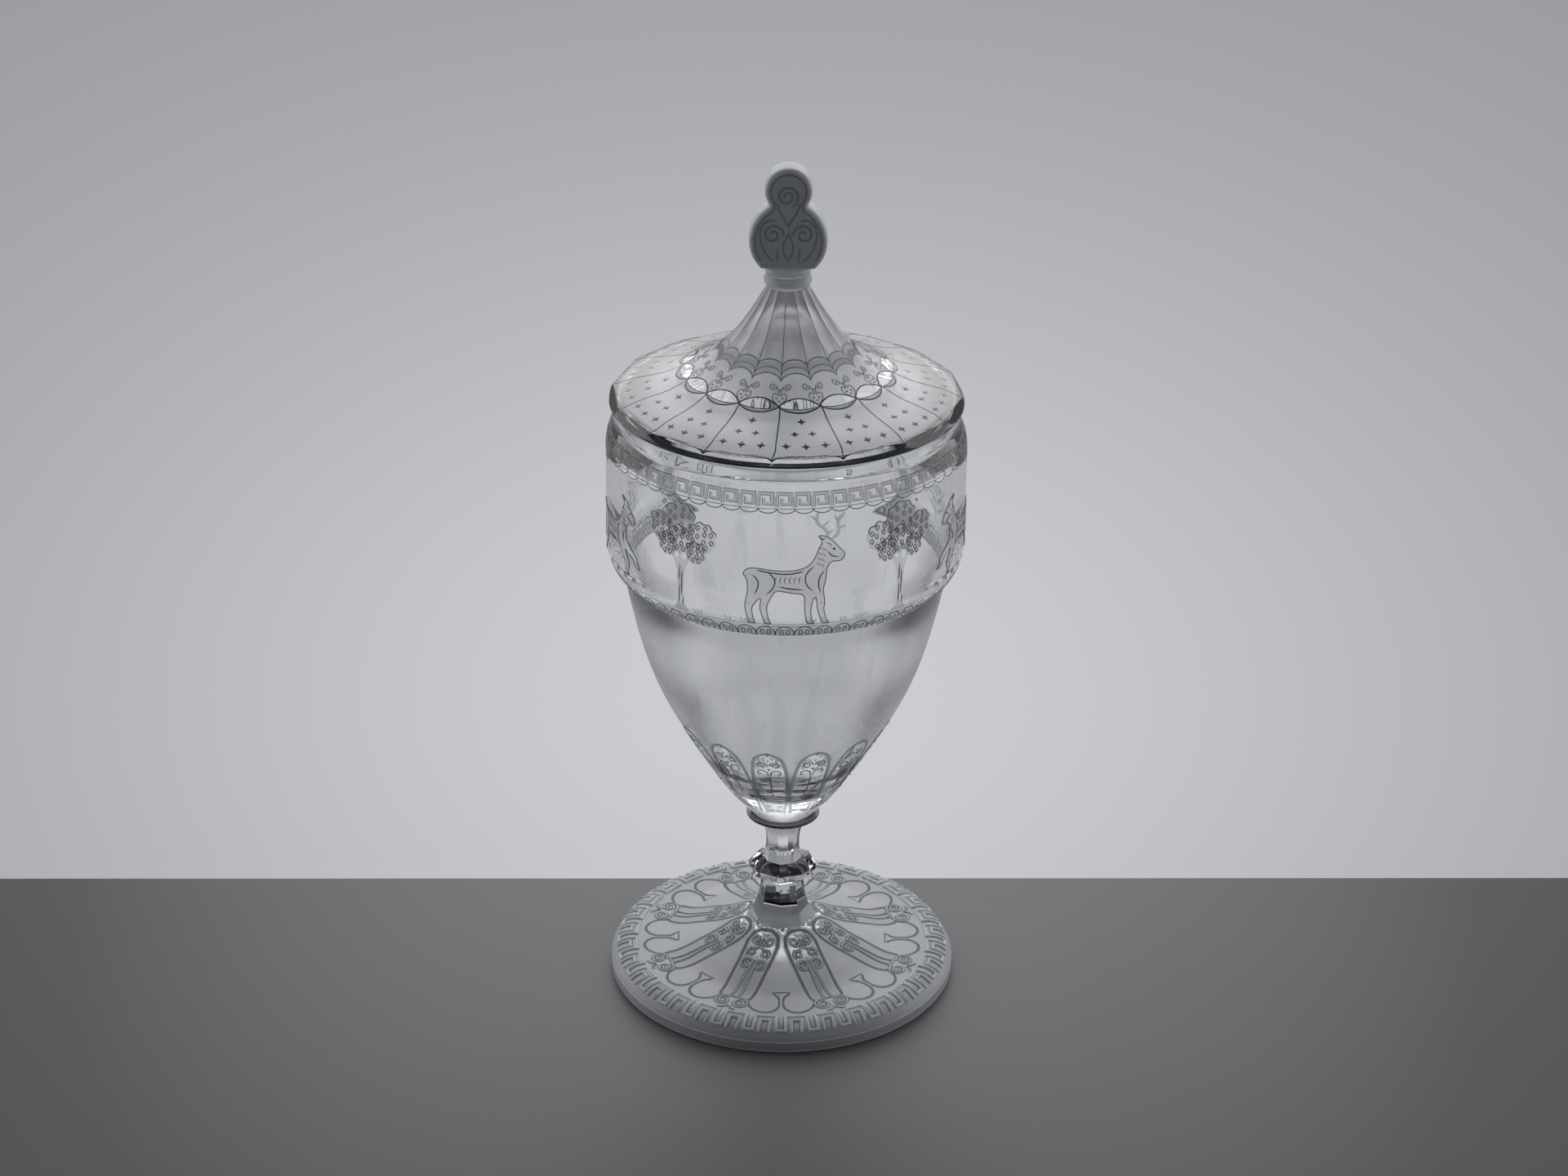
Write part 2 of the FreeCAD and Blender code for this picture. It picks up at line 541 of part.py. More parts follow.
PIECES = {
    "foot": foot(),
    "stem_base": stem_base(),
    "knop": knop(),
    "stem_shaft": stem_shaft(),
    "merese": merese(),
    "bowl": bowl(),
    "lid_cover": lid_cover(),
    "lid_flange": lid_flange(),
    "neck_ring_lower": neck_ring(SPIRE_TOP_Z, LOWER_RING_HEIGHT, LOWER_RING_RADIUS),
    "neck_ring_upper": neck_ring(UPPER_RING_Z, UPPER_RING_HEIGHT, UPPER_RING_RADIUS),
    "finial": finial(),
}

os.makedirs("parts", exist_ok=True)
for name, shape in PIECES.items():
    solid = shape.Solids[0]
    print(name, len(shape.Solids), solid.isValid(), round(solid.Volume, 1))
    solid.exportStep("parts/" + name + ".step")
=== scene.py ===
import math

import bmesh
import bpy
import numpy as np
from bpy.props import FloatProperty, FloatVectorProperty, IntProperty, PointerProperty
from mathutils import Matrix, Vector


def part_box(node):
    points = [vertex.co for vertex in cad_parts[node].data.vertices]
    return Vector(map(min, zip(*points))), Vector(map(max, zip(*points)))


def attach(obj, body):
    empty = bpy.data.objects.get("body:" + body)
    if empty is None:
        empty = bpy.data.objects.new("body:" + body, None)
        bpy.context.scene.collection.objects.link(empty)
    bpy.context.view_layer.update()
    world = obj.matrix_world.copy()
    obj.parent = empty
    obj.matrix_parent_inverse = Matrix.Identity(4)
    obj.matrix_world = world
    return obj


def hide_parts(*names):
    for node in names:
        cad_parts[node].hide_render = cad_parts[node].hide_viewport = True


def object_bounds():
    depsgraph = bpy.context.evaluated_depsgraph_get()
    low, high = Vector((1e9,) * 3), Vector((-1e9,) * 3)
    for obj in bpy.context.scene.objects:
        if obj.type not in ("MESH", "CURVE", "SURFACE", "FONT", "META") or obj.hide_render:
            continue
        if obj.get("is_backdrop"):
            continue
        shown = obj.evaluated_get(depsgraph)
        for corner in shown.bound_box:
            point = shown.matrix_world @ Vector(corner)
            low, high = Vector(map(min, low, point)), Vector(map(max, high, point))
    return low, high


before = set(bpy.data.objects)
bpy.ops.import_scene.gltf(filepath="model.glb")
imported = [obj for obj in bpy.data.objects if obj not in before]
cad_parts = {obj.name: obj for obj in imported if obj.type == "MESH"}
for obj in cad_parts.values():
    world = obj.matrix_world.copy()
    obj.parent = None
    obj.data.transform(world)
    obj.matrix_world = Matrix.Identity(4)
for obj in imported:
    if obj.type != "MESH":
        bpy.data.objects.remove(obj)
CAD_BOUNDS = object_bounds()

bl_info = {
    "name": "Covered Cut-Glass Goblet",
    "version": (1, 0, 0),
    "blender": (4, 5, 0),
    "location": "View3D > Sidebar > Goblet",
    "description": "Builds the glass, the engraving and the stage of a covered goblet round its solid model",
    "category": "Add Mesh",
}

# Lengths below are in millimetres, unless a name or a property says otherwise.
# An angle round the axis is 0 at the front, and grows towards +X.
MM = 0.001
GOBLET = "goblet"
LID = "lid"


def bottom(node):
    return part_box(node)[0].z / MM


def top(node):
    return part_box(node)[1].z / MM


def reach(node):
    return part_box(node)[1].x / MM


# Sizes that repeat the solid model, so that what replaces a node has its shape
FOOT_RADIUS = reach("foot")
FOOT_TOP = top("foot")
FOOT_EDGE = 5.0
FOOT_BEVEL = 0.8
FOOT_BORDER = (65.7, 11.2)
FOOT_RISE = ((50.0, 11.2), (39.5, 14.2), (29.0, 18.0), (20.5, 22.3), (15.0, FOOT_TOP))
FOOT_FLAT = 54.0
FOOT_DISH = (62.0, 5.5)
FACETS = 8
FACET_TURN = math.radians(-6.0)
STEM_FOOT_CORNER = 15.0
STEM_WAIST_CORNER = 9.7
KNOP_STATIONS = ((10.6, 1.9), (15.15, 5.5), (15.15, 8.1), (8.7, 11.2))
SHAFT_WAIST_CORNER = 7.4
SHAFT_WAIST_RISE = 4.6
SHAFT_WHEEL = 25.0
MERESE_UNDERSIDE = (11.9, 2.0)
MERESE_EDGE = 1.1
MERESE_NOTCHES = 64
BOWL_SIDE = ((13.8, 0.0), (24.0, 12.0), (32.9, 25.5), (44.8, 45.5), (55.0, 65.5), (62.1, 85.5),
             (70.0, 120.5))
BOWL_INSIDE = ((70.9, 138.5), (68.98, 125.7), (63.9, 111.5), (57.54, 85.5), (50.01, 65.5), (40.39, 45.5),
               (26.87, 25.5), (15.92, 18.5), (0.0, 15.5))
BAND_UNDERSIDE = 12.0
BAND_STRAIGHT = 45.0
SHOULDER = (3.7, 12.6)
LIP_WALL = 2.2
RIM_ROUNDING = 0.6
LID_EDGE = 3.1
LID_ROUNDING = 3.0
LID_CROWN = 1.2
LID_BEVEL = 0.5
LID_STATIONS = ((67.1, 3.3), (51.3, 7.6), (44.5, 10.6), (30.9, 18.2), (21.6, 28.0), (13.4, 40.0),
                (8.8, 48.3))
LID_CAVITY = ((66.8, -3.1), (60.5, 0.2), (51.0, 3.3), (40.4, 7.6), (30.4, 13.2), (22.6, 20.0),
              (15.45, 28.0),
              (11.5, 32.0), (5.3, 36.0), (0.0, 37.0))
LID_SECTORS = 16
FLANGE_WALL = 3.1
LID_TURN = math.radians(-4.5)
RIM_FACET_TILT = math.radians(38.0)
FLUTE_START = 22.6
FLUTE_DEPTH = 1.15


def smooth_through(stations, spacing):
    """Evenly spaced points on a smooth curve through the stations."""
    stations = np.array(stations, float)
    chord = np.concatenate([[0.0], np.cumsum(np.hypot(*np.diff(stations, axis=0).T))])
    gaps = np.diff(chord)
    count = len(chord)
    matrix = np.eye(count)
    right = np.zeros((count, 2))
    for i in range(1, count - 1):
        matrix[i, i - 1:i + 2] = gaps[i - 1], 2.0 * (gaps[i - 1] + gaps[i]), gaps[i]
        rise = (stations[i + 1] - stations[i]) / gaps[i]
        right[i] = 6.0 * (rise - (stations[i] - stations[i - 1]) / gaps[i - 1])
    bend = np.linalg.solve(matrix, right)
    along = np.linspace(0.0, chord[-1], max(2, int(round(chord[-1] / spacing)) + 1))
    i = np.clip(np.searchsorted(chord, along) - 1, 0, count - 2)
    b = ((along - chord[i]) / gaps[i])[:, None]
    a = 1.0 - b
    sway = (a ** 3 - a) * bend[i] + (b ** 3 - b) * bend[i + 1]
    return a * stations[i] + b * stations[i + 1] + sway * (gaps[i] ** 2)[:, None] / 6.0


def arc(centre, radius, start, end, pieces=16):
    """Points on an arc, from one angle to another in degrees, counted from +X."""
    angles = np.radians(np.linspace(start, end, pieces + 1))
    radius = np.broadcast_to(radius, 2)
    return np.stack([centre[0] + radius[0] * np.cos(angles), centre[1] + radius[1] * np.sin(angles)], 1)


def arc_through(start, middle, end, pieces=12):
    """Points on the arc that runs through three points."""
    (ax, ay), (bx, by), (cx, cy) = start, middle, end
    d = 2.0 * (ax * (by - cy) + bx * (cy - ay) + cx * (ay - by))
    a2, b2, c2 = ax * ax + ay * ay, bx * bx + by * by, cx * cx + cy * cy
    centre = np.array([(a2 * (by - cy) + b2 * (cy - ay) + c2 * (ay - by)) / d,
                       (a2 * (cx - bx) + b2 * (ax - cx) + c2 * (bx - ax)) / d])
    angles = [math.atan2(p[1] - centre[1], p[0] - centre[0]) for p in (start, middle, end)]
    for i in (1, 2):
        while angles[i] - angles[i - 1] > math.pi:
            angles[i] -= 2.0 * math.pi
        while angles[i] - angles[i - 1] < -math.pi:
            angles[i] += 2.0 * math.pi
    radius = math.hypot(ax - centre[0], ay - centre[1])
    return arc(centre, radius, math.degrees(angles[0]), math.degrees(angles[2]), pieces)


def spiral(centre, outer, inner, start, turns):
    """Points on a spiral that winds inwards. Negative turns wind clockwise."""
    pieces = max(8, int(abs(turns) * 22))
    share = np.linspace(0.0, 1.0, pieces + 1)
    angles = np.radians(start + 360.0 * turns * share)
    radius = outer + (inner - outer) * share
    return np.stack([centre[0] + radius * np.cos(angles), centre[1] + radius * np.sin(angles)], 1)


def evenly(path, spacing, closed=False):
    """The path's own corners, with more points where they lie far apart."""
    path = np.array(path, float)
    if closed:
        path = np.vstack([path, path[:1]])
    points = []
    for start, end in zip(path[:-1], path[1:]):
        pieces = max(1, int(math.ceil(np.hypot(*(end - start)) / spacing)))
        points.extend(start + (end - start) * share for share in np.arange(pieces) / pieces)
    if not closed:
        points.append(path[-1])
    return np.array(points)


def mirrored(path):
    """The path with left and right changed over, run backwards."""
    return (np.array(path, float) * (-1.0, 1.0))[::-1]


def joined(*paths):
    """Paths one after another, without doubled points."""
    points = [np.array(paths[0], float)[0]]
    for path in paths:
        for point in np.array(path, float):
            if np.hypot(*(point - points[-1])) > 1e-6:
                points.append(point)
    return np.array(points)


def side_step(path, distance, closed=False):
    """The path moved to its right-hand side."""
    path = np.array(path, float)
    ahead = np.roll(path, -1, 0) - path
    if not closed:
        ahead[-1] = ahead[-2]
    ahead /= np.maximum(np.hypot(*ahead.T), 1e-9)[:, None]
    behind = np.roll(ahead, 1, 0)
    if not closed:
        behind[0] = ahead[0]
    right = np.stack([ahead[:, 1], -ahead[:, 0]], 1)
    mean = right + np.stack([behind[:, 1], -behind[:, 0]], 1)
    mean /= np.maximum(np.hypot(*mean.T), 1e-9)[:, None]
    stretch = 1.0 / np.maximum(0.5, (mean * right).sum(1))
    return path + mean * stretch[:, None] * np.reshape(distance, (-1, 1))


class Outline:
    """A line of (radius, height) points, measured along its length. It turns round the axis."""

    def __init__(self, *runs):
        self.points = joined(*runs)
        steps = np.hypot(*np.diff(self.points, axis=0).T)
        self.lengths = np.concatenate([[0.0], np.cumsum(steps)])

    def radius(self, along):
        return np.interp(along, self.lengths, self.points[:, 0])

    def height(self, along):
        return np.interp(along, self.lengths, self.points[:, 1])

    def at_height(self, height):
        return float(np.interp(height, self.points[:, 1], self.lengths))

    def place(self, angle, along, lift):
        """Points off the turned surface, for arrays of angle, length and lift."""
        reach_out = 0.35
        dr = self.radius(along + reach_out) - self.radius(along - reach_out)
        dz = self.height(along + reach_out) - self.height(along - reach_out)
        size = np.maximum(np.hypot(dr, dz), 1e-9)
        radius = self.radius(along) + lift * dz / size
        height = self.height(along) - lift * dr / size
        return np.stack([radius * np.sin(angle), -radius * np.cos(angle), height], -1)

    def cover(self, drawn, angle, along):
        """Bends drawn (across, up, lift) points onto the surface round one spot."""
        length = along + drawn[:, 1]
        turn = angle + drawn[:, 0] / np.maximum(self.radius(length), 1e-6)
        return self.place(turn, length, drawn[:, 2])


class FlatFace:
    """An upright flat face across the Y axis, in front of the axis or behind it."""

    def __init__(self, depth, facing):
        self.depth = depth
        self.facing = facing

    def cover(self, drawn, across, up):
        x = (across + drawn[:, 0]) * self.facing
        y = -self.facing * (self.depth + drawn[:, 2])
        return np.stack([x, y, up + drawn[:, 1]], -1)


class Drawing:
    """Raised lines and shapes, drawn flat, to be stamped on a surface."""

    SECTION = ((-1.0, 0.0), (-0.6, 0.8), (0.0, 1.0), (0.6, 0.8), (1.0, 0.0))
    SUNK = -0.02

    def __init__(self, spacing=1.0):
        self.spacing = spacing
        self.points = []
        self.faces = []
        self.count = 0

    def keep(self, points, faces):
        self.points.append(np.array(points, float))
        self.faces.extend(tuple(i + self.count for i in face) for face in faces)
        self.count += len(points)

    def line(self, path, width, height=0.12, closed=False, tip=0.0):
        """A line with a rounded top. A tip is the length over which an end comes to a point."""
        path = evenly(path, self.spacing, closed)
        count = len(path)
        steps = np.hypot(*np.diff(path, axis=0).T)
        run = np.concatenate([[0.0], np.cumsum(steps)])
        full = np.ones(count)
        if tip:
            full = np.clip(np.minimum(run, run[-1] - run) / tip, 0.12, 1.0)
        rings = []
        for offset, lift in self.SECTION:
            side = side_step(path, offset * 0.5 * width * full, closed)
            rings.append(np.column_stack([side, self.SUNK + lift * height * full]))
        rings = np.stack(rings, 1)
        across = len(self.SECTION)
        faces = []
        for i in range(count if closed else count - 1):
            j = (i + 1) % count
            for k in range(across):
                m = (k + 1) % across
                faces.append((i * across + k, i * across + m, j * across + m, j * across + k))
        if not closed:
            faces.append(tuple(reversed(range(across))))
            faces.append(tuple(range((count - 1) * across, count * across)))
        self.keep(rings.reshape(-1, 3), faces)

    def shape(self, loops, height=0.2, edge=0.8, cell=1.8):
        """A filled shape whose edges are rounded off. Loops after the first are holes."""
        fill = bmesh.new()
        edges = []
        for loop in loops:
            corners = [fill.verts.new((x, y, 0.0)) for x, y in loop]
            edges += [fill.edges.new((corners[i - 1], corners[i])) for i in range(len(corners))]
        bmesh.ops.triangle_fill(fill, use_beauty=True, use_dissolve=False, edges=edges)
        outer = np.array(loops[0], float)
        for axis in (0, 1):
            low, high = outer[:, axis].min(), outer[:, axis].max()
            for cut in np.arange(math.ceil(low / cell) * cell, high, cell):
                spot = [0.0, 0.0, 0.0]
                spot[axis] = float(cut)
                across = [0.0, 0.0, 0.0]
                across[axis] = 1.0
                everything = fill.verts[:] + fill.edges[:] + fill.faces[:]
                bmesh.ops.bisect_plane(fill, geom=everything, dist=1e-4, plane_co=spot, plane_no=across)
        fill.normal_update()
        for face in fill.faces:
            if face.normal.z < 0.0:
                face.normal_flip()
        fill.verts.index_update()
        flat = np.array([v.co[:2] for v in fill.verts])
        gap = np.full(len(flat), 1e9)
        for loop in loops:
            starts = np.array(loop, float)
            runs = np.roll(starts, -1, 0) - starts
            toward = flat[:, None] - starts[None]
            share = np.clip((toward * runs).sum(2) / np.maximum((runs ** 2).sum(1), 1e-12), 0.0, 1.0)
            away = toward - share[..., None] * runs[None]
            gap = np.minimum(gap, np.sqrt((away ** 2).sum(2)).min(1))
        swell = np.clip(gap / edge, 0.0, 1.0)
        lift = 0.01 + height * np.sqrt(1.0 - (1.0 - swell) ** 2)
        faces = [tuple(v.index for v in face.verts) for face in fill.faces]
        self.keep(np.column_stack([flat, lift]), faces)
        fill.free()

    def dot(self, centre, radius, height=0.3, sides=10):
        """A small round boss."""
        rings = ((1.0, 0.0), (0.8, 0.6), (0.45, 0.9))
        points = []
        for share, lift in rings:
            for angle in 2.0 * np.pi * np.arange(sides) / sides:
                points.append((centre[0] + share * radius * math.cos(angle),
                               centre[1] + share * radius * math.sin(angle), self.SUNK + lift * height))
        points.append((centre[0], centre[1], self.SUNK + height))
        faces = []
        for ring in range(len(rings) - 1):
            for i in range(sides):
                j = (i + 1) % sides
                a, b = ring * sides, (ring + 1) * sides
                faces.append((a + i, a + j, b + j, b + i))
        last = (len(rings) - 1) * sides
        faces += [(last + i, last + (i + 1) % sides, len(points) - 1) for i in range(sides)]
        faces.append(tuple(reversed(range(sides))))
        self.keep(points, faces)


class Draft:
    """Collects corners and faces, and makes one piece of them."""

    def __init__(self):
        self.corners = []
        self.faces = []
        self.paint = []
        self.count = 0

    def add(self, corners, faces, paint=0):
        self.corners.append(np.asarray(corners, float).reshape(-1, 3))
        self.faces.extend(tuple(int(i) + self.count for i in face) for face in faces)
        self.paint.append(np.broadcast_to(paint, len(faces)).astype(np.int32))
        self.count += len(self.corners[-1])

    def turned(self, points, columns, paint=None, reshape=None, start=0.0):
        """Turns (radius, height) points round the axis. Paint numbers each face's finish.

        A third number in the points is the share of an octagon in the cross-section."""
        points = np.array(points, float)
        rows = len(points)
        turn = start + 2.0 * np.pi * np.arange(columns) / columns
        angle = np.broadcast_to(turn, (rows, columns))
        radius = np.repeat(points[:, :1], columns, 1)
        height = np.repeat(points[:, 1:2], columns, 1)
        if points.shape[1] > 2:
            half = math.pi / FACETS
            off_middle = (angle - start) % (2.0 * half) - half
            radius = radius * (1.0 + points[:, 2:3] * (math.cos(half) / np.cos(off_middle) - 1.0))
        if reshape:
            radius, height = reshape(angle, radius, height)
        corners = np.stack([radius * np.sin(angle), -radius * np.cos(angle), height], -1)
        index = np.arange(rows * columns).reshape(rows, columns)
        ahead = np.roll(index, -1, 1)
        faces = np.stack([index[:-1], ahead[:-1], ahead[1:], index[1:]], -1).reshape(-1, 4)
        numbers = 0
        if paint:
            middle_radius = 0.5 * (radius[:-1] + radius[1:])
            middle_height = 0.5 * (height[:-1] + height[1:])
            numbers = paint(angle[:-1] + np.pi / columns, middle_radius, middle_height).reshape(-1)
        self.add(corners, faces, numbers)

    def stamp(self, drawing, surface, across, along, paint=0, sides=(1.0, 1.0)):
        """Bends a drawing onto a surface. The sides scale it, and a minus sign mirrors it."""
        points = np.concatenate(drawing.points) * (*sides, 1.0)
        faces = drawing.faces
        if sides[0] * sides[1] < 0.0:
            faces = [tuple(reversed(face)) for face in faces]
        self.add(surface.cover(points, across, along), faces, paint)

    def build(self, name, body, painted, stands_for=(), sharp=30.0):
        """Makes the piece. The faces' paint numbers count through the names of its finishes."""
        mesh = bpy.data.meshes.new(name)
        mesh.from_pydata((np.concatenate(self.corners) * MM).tolist(), [], self.faces)
        mesh.polygons.foreach_set("material_index", np.concatenate(self.paint))
        for material in finishes(*painted):
            mesh.materials.append(material)
        clean = bmesh.new()
        clean.from_mesh(mesh)
        bmesh.ops.remove_doubles(clean, verts=clean.verts, dist=1e-7)
        bmesh.ops.dissolve_degenerate(clean, edges=clean.edges, dist=1e-8)
        clean.to_mesh(mesh)
        clean.free()
        mesh.shade_smooth()
        mesh.set_sharp_from_angle(angle=math.radians(sharp))
        piece = bpy.data.objects.new(name, mesh)
        bpy.context.scene.collection.objects.link(piece)
        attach(piece, body)
        if stands_for:
            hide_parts(*stands_for)


# Outlines of the turned pieces
def foot_outline():
    edge_top = (FOOT_RADIUS, FOOT_EDGE)
    width = FOOT_RADIUS - FOOT_BORDER[0]
    height = FOOT_BORDER[1] - FOOT_EDGE
    crown = (FOOT_RADIUS - 0.26 * width, FOOT_EDGE + 0.66 * height)
    flat_end = (FOOT_FLAT, FOOT_BORDER[1])
    rise = smooth_through((flat_end,) + FOOT_RISE, 0.6)
    return Outline([(FOOT_RADIUS, FOOT_BEVEL), edge_top], arc_through(edge_top, crown, FOOT_BORDER, 22),
                   evenly([FOOT_BORDER, flat_end], 0.8), rise[1:])


def bowl_outline():
    base = bottom("bowl")
    side = smooth_through([(r, base + z) for r, z in BOWL_SIDE], 0.75)
    neck_radius, neck = side[-1]
    band = reach("bowl")
    overhang = band - neck_radius
    turn = (neck_radius + 0.66 * overhang, neck + 0.44 * BAND_UNDERSIDE)
    band_bottom = (band, neck + BAND_UNDERSIDE)
    band_top = (band, band_bottom[1] + BAND_STRAIGHT)
    mouth = band - SHOULDER[0]
    shoulder_turn = (band - 0.36 * SHOULDER[0], band_top[1] + 0.58 * SHOULDER[1])
    shoulder = (mouth, band_top[1] + SHOULDER[1])
    rim = top("bowl")
    return Outline(side, arc_through(side[-1], turn, band_bottom, 18), evenly([band_bottom, band_top], 1.5),
                   arc_through(band_top, shoulder_turn, shoulder, 14),
                   evenly([shoulder, (mouth, rim - RIM_ROUNDING)], 1.5))


def lid_outline():
    edge = bottom("lid_cover") + LID_EDGE
    centre = (reach("lid_cover") - LID_ROUNDING, edge + LID_CROWN - LID_ROUNDING)
    crown = (centre[0], edge + LID_CROWN)
    top_curve = smooth_through([crown] + [(r, edge + z) for r, z in LID_STATIONS], 0.5)
    return Outline(arc(centre, LID_ROUNDING, 0.0, 90.0, 10), top_curve)


# Shader maths
class Value:
    """A number or colour inside a material, with plain arithmetic for numbers."""

    def __init__(self, recipe, socket):
        self.recipe = recipe
        self.socket = socket

    def maths(self, operation, first, second):
        return self.recipe.maths(operation, first, second)

    def __add__(self, other):
        return self.maths("ADD", self, other)

    def __radd__(self, other):
        return self.maths("ADD", other, self)

    def __sub__(self, other):
        return self.maths("SUBTRACT", self, other)

    def __mul__(self, other):
        return self.maths("MULTIPLY", self, other)

    def __rmul__(self, other):
        return self.maths("MULTIPLY", other, self)

    def __truediv__(self, other):
        return self.maths("DIVIDE", self, other)

    def clamped(self):
        return self.maths("MINIMUM", self.maths("MAXIMUM", self, 0.0), 1.0)


class Recipe:
    """The node tree of one material or of the world."""

    def __init__(self, tree):
        self.tree = tree
        tree.nodes.clear()

    def node(self, kind, settings=None, inputs=None, output=0):
        """One node: its settings first, then the values or links of its sockets."""
        made = self.tree.nodes.new(kind)
        for name, value in (settings or {}).items():
            setattr(made, name, value)
        for name, value in (inputs or {}).items():
            if isinstance(value, Value):
                self.tree.links.new(value.socket, made.inputs[name])
            else:
                made.inputs[name].default_value = value
        return Value(self, made.outputs[output])

    def maths(self, operation, first, second):
        return self.node("ShaderNodeMath", {"operation": operation}, {0: first, 1: second})

    def noise(self, scale, detail=2.0, stretch=(1.0, 1.0, 1.0)):
        place = self.node("ShaderNodeTexCoord", output="Object")
        place = self.node("ShaderNodeMapping", None, {"Vector": place, "Scale": stretch})
        return self.node("ShaderNodeTexNoise", None, {"Vector": place, "Scale": scale, "Detail": detail})

    def place(self, coordinates):
        """The parts of a place, along X, Y and Z."""
        whole = self.node("ShaderNodeTexCoord", output=coordinates)
        split = self.node("ShaderNodeSeparateXYZ", None, {"Vector": whole})
        return [Value(self, output) for output in split.socket.node.outputs]

    def blend(self, share, first, second):
        return self.node("ShaderNodeMix", {"data_type": "RGBA"}, {0: share, 6: first, 7: second}, output=2)

    def bump(self, height, strength, distance):
        inputs = {"Height": height, "Strength": strength, "Distance": distance}
        return self.node("ShaderNodeBump", None, inputs)

    def principled(self, inputs):
        self.finish(self.node("ShaderNodeBsdfPrincipled", None, inputs))

    def finish(self, shader, kind="ShaderNodeOutputMaterial"):
        output = self.tree.nodes.new(kind)
        self.tree.links.new(shader.socket, output.inputs["Surface"])


def rgba(colour):
    return (*colour[:3], 1.0)


def new_material(name):
    material = bpy.data.materials.new(name)
    material.use_nodes = True
    return material, Recipe(material.node_tree)


GLASS_IOR = 1.5
# Engraved lines are thin skins on the glass, so they bend light less than a thick body does
ENGRAVED_IOR = 1.12
EVEN = (1.0, 1.0, 1.0)
GRAIN = 2600.0

# Each satin finish: its colour, transmission, roughness, stretch of its clouds, contrast and refraction
SATIN_FINISHES = {
    "satin_ground": ("satin_colour", 0.72, 0.34, (0.35, 1.0, 1.0), 0.14, GLASS_IOR),
    "satin_foot": ("foot_colour", 0.45, 0.42, EVEN, 0.12, GLASS_IOR),
    "satin_panels": ("panel_colour", 0.50, 0.46, EVEN, 0.12, GLASS_IOR),
    "satin_finial": ("panel_colour", 0.12, 0.5, EVEN, 0.12, GLASS_IOR),
    "satin_flutes": ("flute_colour", 0.55, 0.5, (1.0, 1.0, 0.2), 0.10, GLASS_IOR),
    # Painted highlight: opaque bright lines on the foot's rim and the collar's teeth
    "bright_edge": ("bright_colour", 0.0, 0.3, EVEN, 0.05, GLASS_IOR),
    "satin_arches": ("arch_colour", 0.86, 0.34, EVEN, 0.10, ENGRAVED_IOR),
    "satin_bands": ("band_colour", 0.45, 0.45, EVEN, 0.10, ENGRAVED_IOR),
    "satin_figures": ("figure_colour", 0.85, 0.36, EVEN, 0.12, ENGRAVED_IOR),
    "satin_grooves": ("groove_colour", 0.60, 0.42, EVEN, 0.10, ENGRAVED_IOR),
    "matt_engraving": ("matt_colour", 0.25, 0.65, EVEN, 0.10, ENGRAVED_IOR),
}


def frosted(recipe, look, name):
    """Satin glass: ground matt by the engraver's wheel, a little uneven, with a fine grain."""
    colour, transmission, roughness, stretch, contrast, ior = SATIN_FINISHES[name]
    colour = getattr(look, colour)
    cloud = recipe.noise(30.0, 3.0, stretch)
    grain = recipe.noise(GRAIN, 1.0)
    dark = tuple(c * (1.0 - contrast) for c in colour)
    light = tuple(min(1.0, c * (1.0 + contrast)) for c in colour)
    recipe.principled({
        "Base Color": recipe.blend(cloud, rgba(dark), rgba(light)),
        "Roughness": roughness + 0.12 * (cloud - 0.5),
        "IOR": ior, "Transmission Weight": transmission, "Normal": recipe.bump(grain, 0.25, 0.00008)})


def polished(recipe, look):
    """Polished glass, with the faint waviness that a polishing wheel leaves."""
    wave = recipe.noise(60.0, 2.0)
    recipe.principled({
        "Base Color": rgba(look.clear_colour), "Roughness": 0.0, "IOR": look.ior,
        "Transmission Weight": 1.0,
        "Normal": recipe.bump(wave, 0.06, 0.0004)})


def crescent(recipe, look):
    """A painted highlight at the foot of each facet: a small satin patch with a cloudy tone that glows of
    itself, though no lamp lights it there.
    """
    cloud = recipe.noise(120.0, 2.0)
    dim = tuple(0.55 * c for c in look.bright_colour)
    tone = recipe.blend(cloud, rgba(dim), rgba(look.bright_colour))
    recipe.principled({
        "Base Color": tone, "Roughness": 0.35, "IOR": GLASS_IOR, "Emission Color": tone,
        "Emission Strength": 0.7})


def streaked(recipe, look):
    """The satin of the bowl: thin, bright, and with a few grey streaks that run down it."""
    streak = recipe.noise(150.0, 2.0, (1.0, 1.0, 0.03))
    cloud = recipe.noise(22.0, 3.0)
    lines = ((streak - 0.58) * 5.0).clamped() * (cloud * 1.6 - 0.3).clamped()
    dark = tuple(0.62 * c for c in look.bowl_colour)
    tone = recipe.blend(lines, rgba(look.bowl_colour), rgba(dark))
    grain = recipe.noise(GRAIN, 1.0)
    recipe.principled({
        "Base Color": tone, "Roughness": 0.22 + 0.08 * cloud + 0.05 * lines, "IOR": GLASS_IOR,
        "Transmission Weight": 0.97, "Normal": recipe.bump(grain, 0.2, 0.00006)})


def cut_line(recipe, look):
    """Polished cuts in satin glass: they show as dark bright-edged lines. The same near-black finish is
    painted as shade under the collar and round the lid's lower edge.
    """
    cloud = recipe.noise(90.0, 2.0)
    dark = tuple(0.7 * c for c in look.cut_and_shade_colour)
    tone = recipe.blend(cloud, rgba(dark), rgba(look.cut_and_shade_colour))
    recipe.principled({"Base Color": tone, "Roughness": 0.16 + 0.08 * cloud, "IOR": GLASS_IOR})


OTHER_FINISHES = {"polished_glass": polished, "lit_crescent": crescent, "satin_streaked": streaked,
                  "polished_cut": cut_line}


def finishes(*names):
    """The materials of these names, each made when it is first asked for."""
    look = bpy.context.scene.goblet_finish
    made = []
    for name in names:
        material = bpy.data.materials.get(name)
        if material is None:
            material, recipe = new_material(name)
            if name in SATIN_FINISHES:
                frosted(recipe, look, name)
            else:
                OTHER_FINISHES[name](recipe, look)
        made.append(material)
    return made


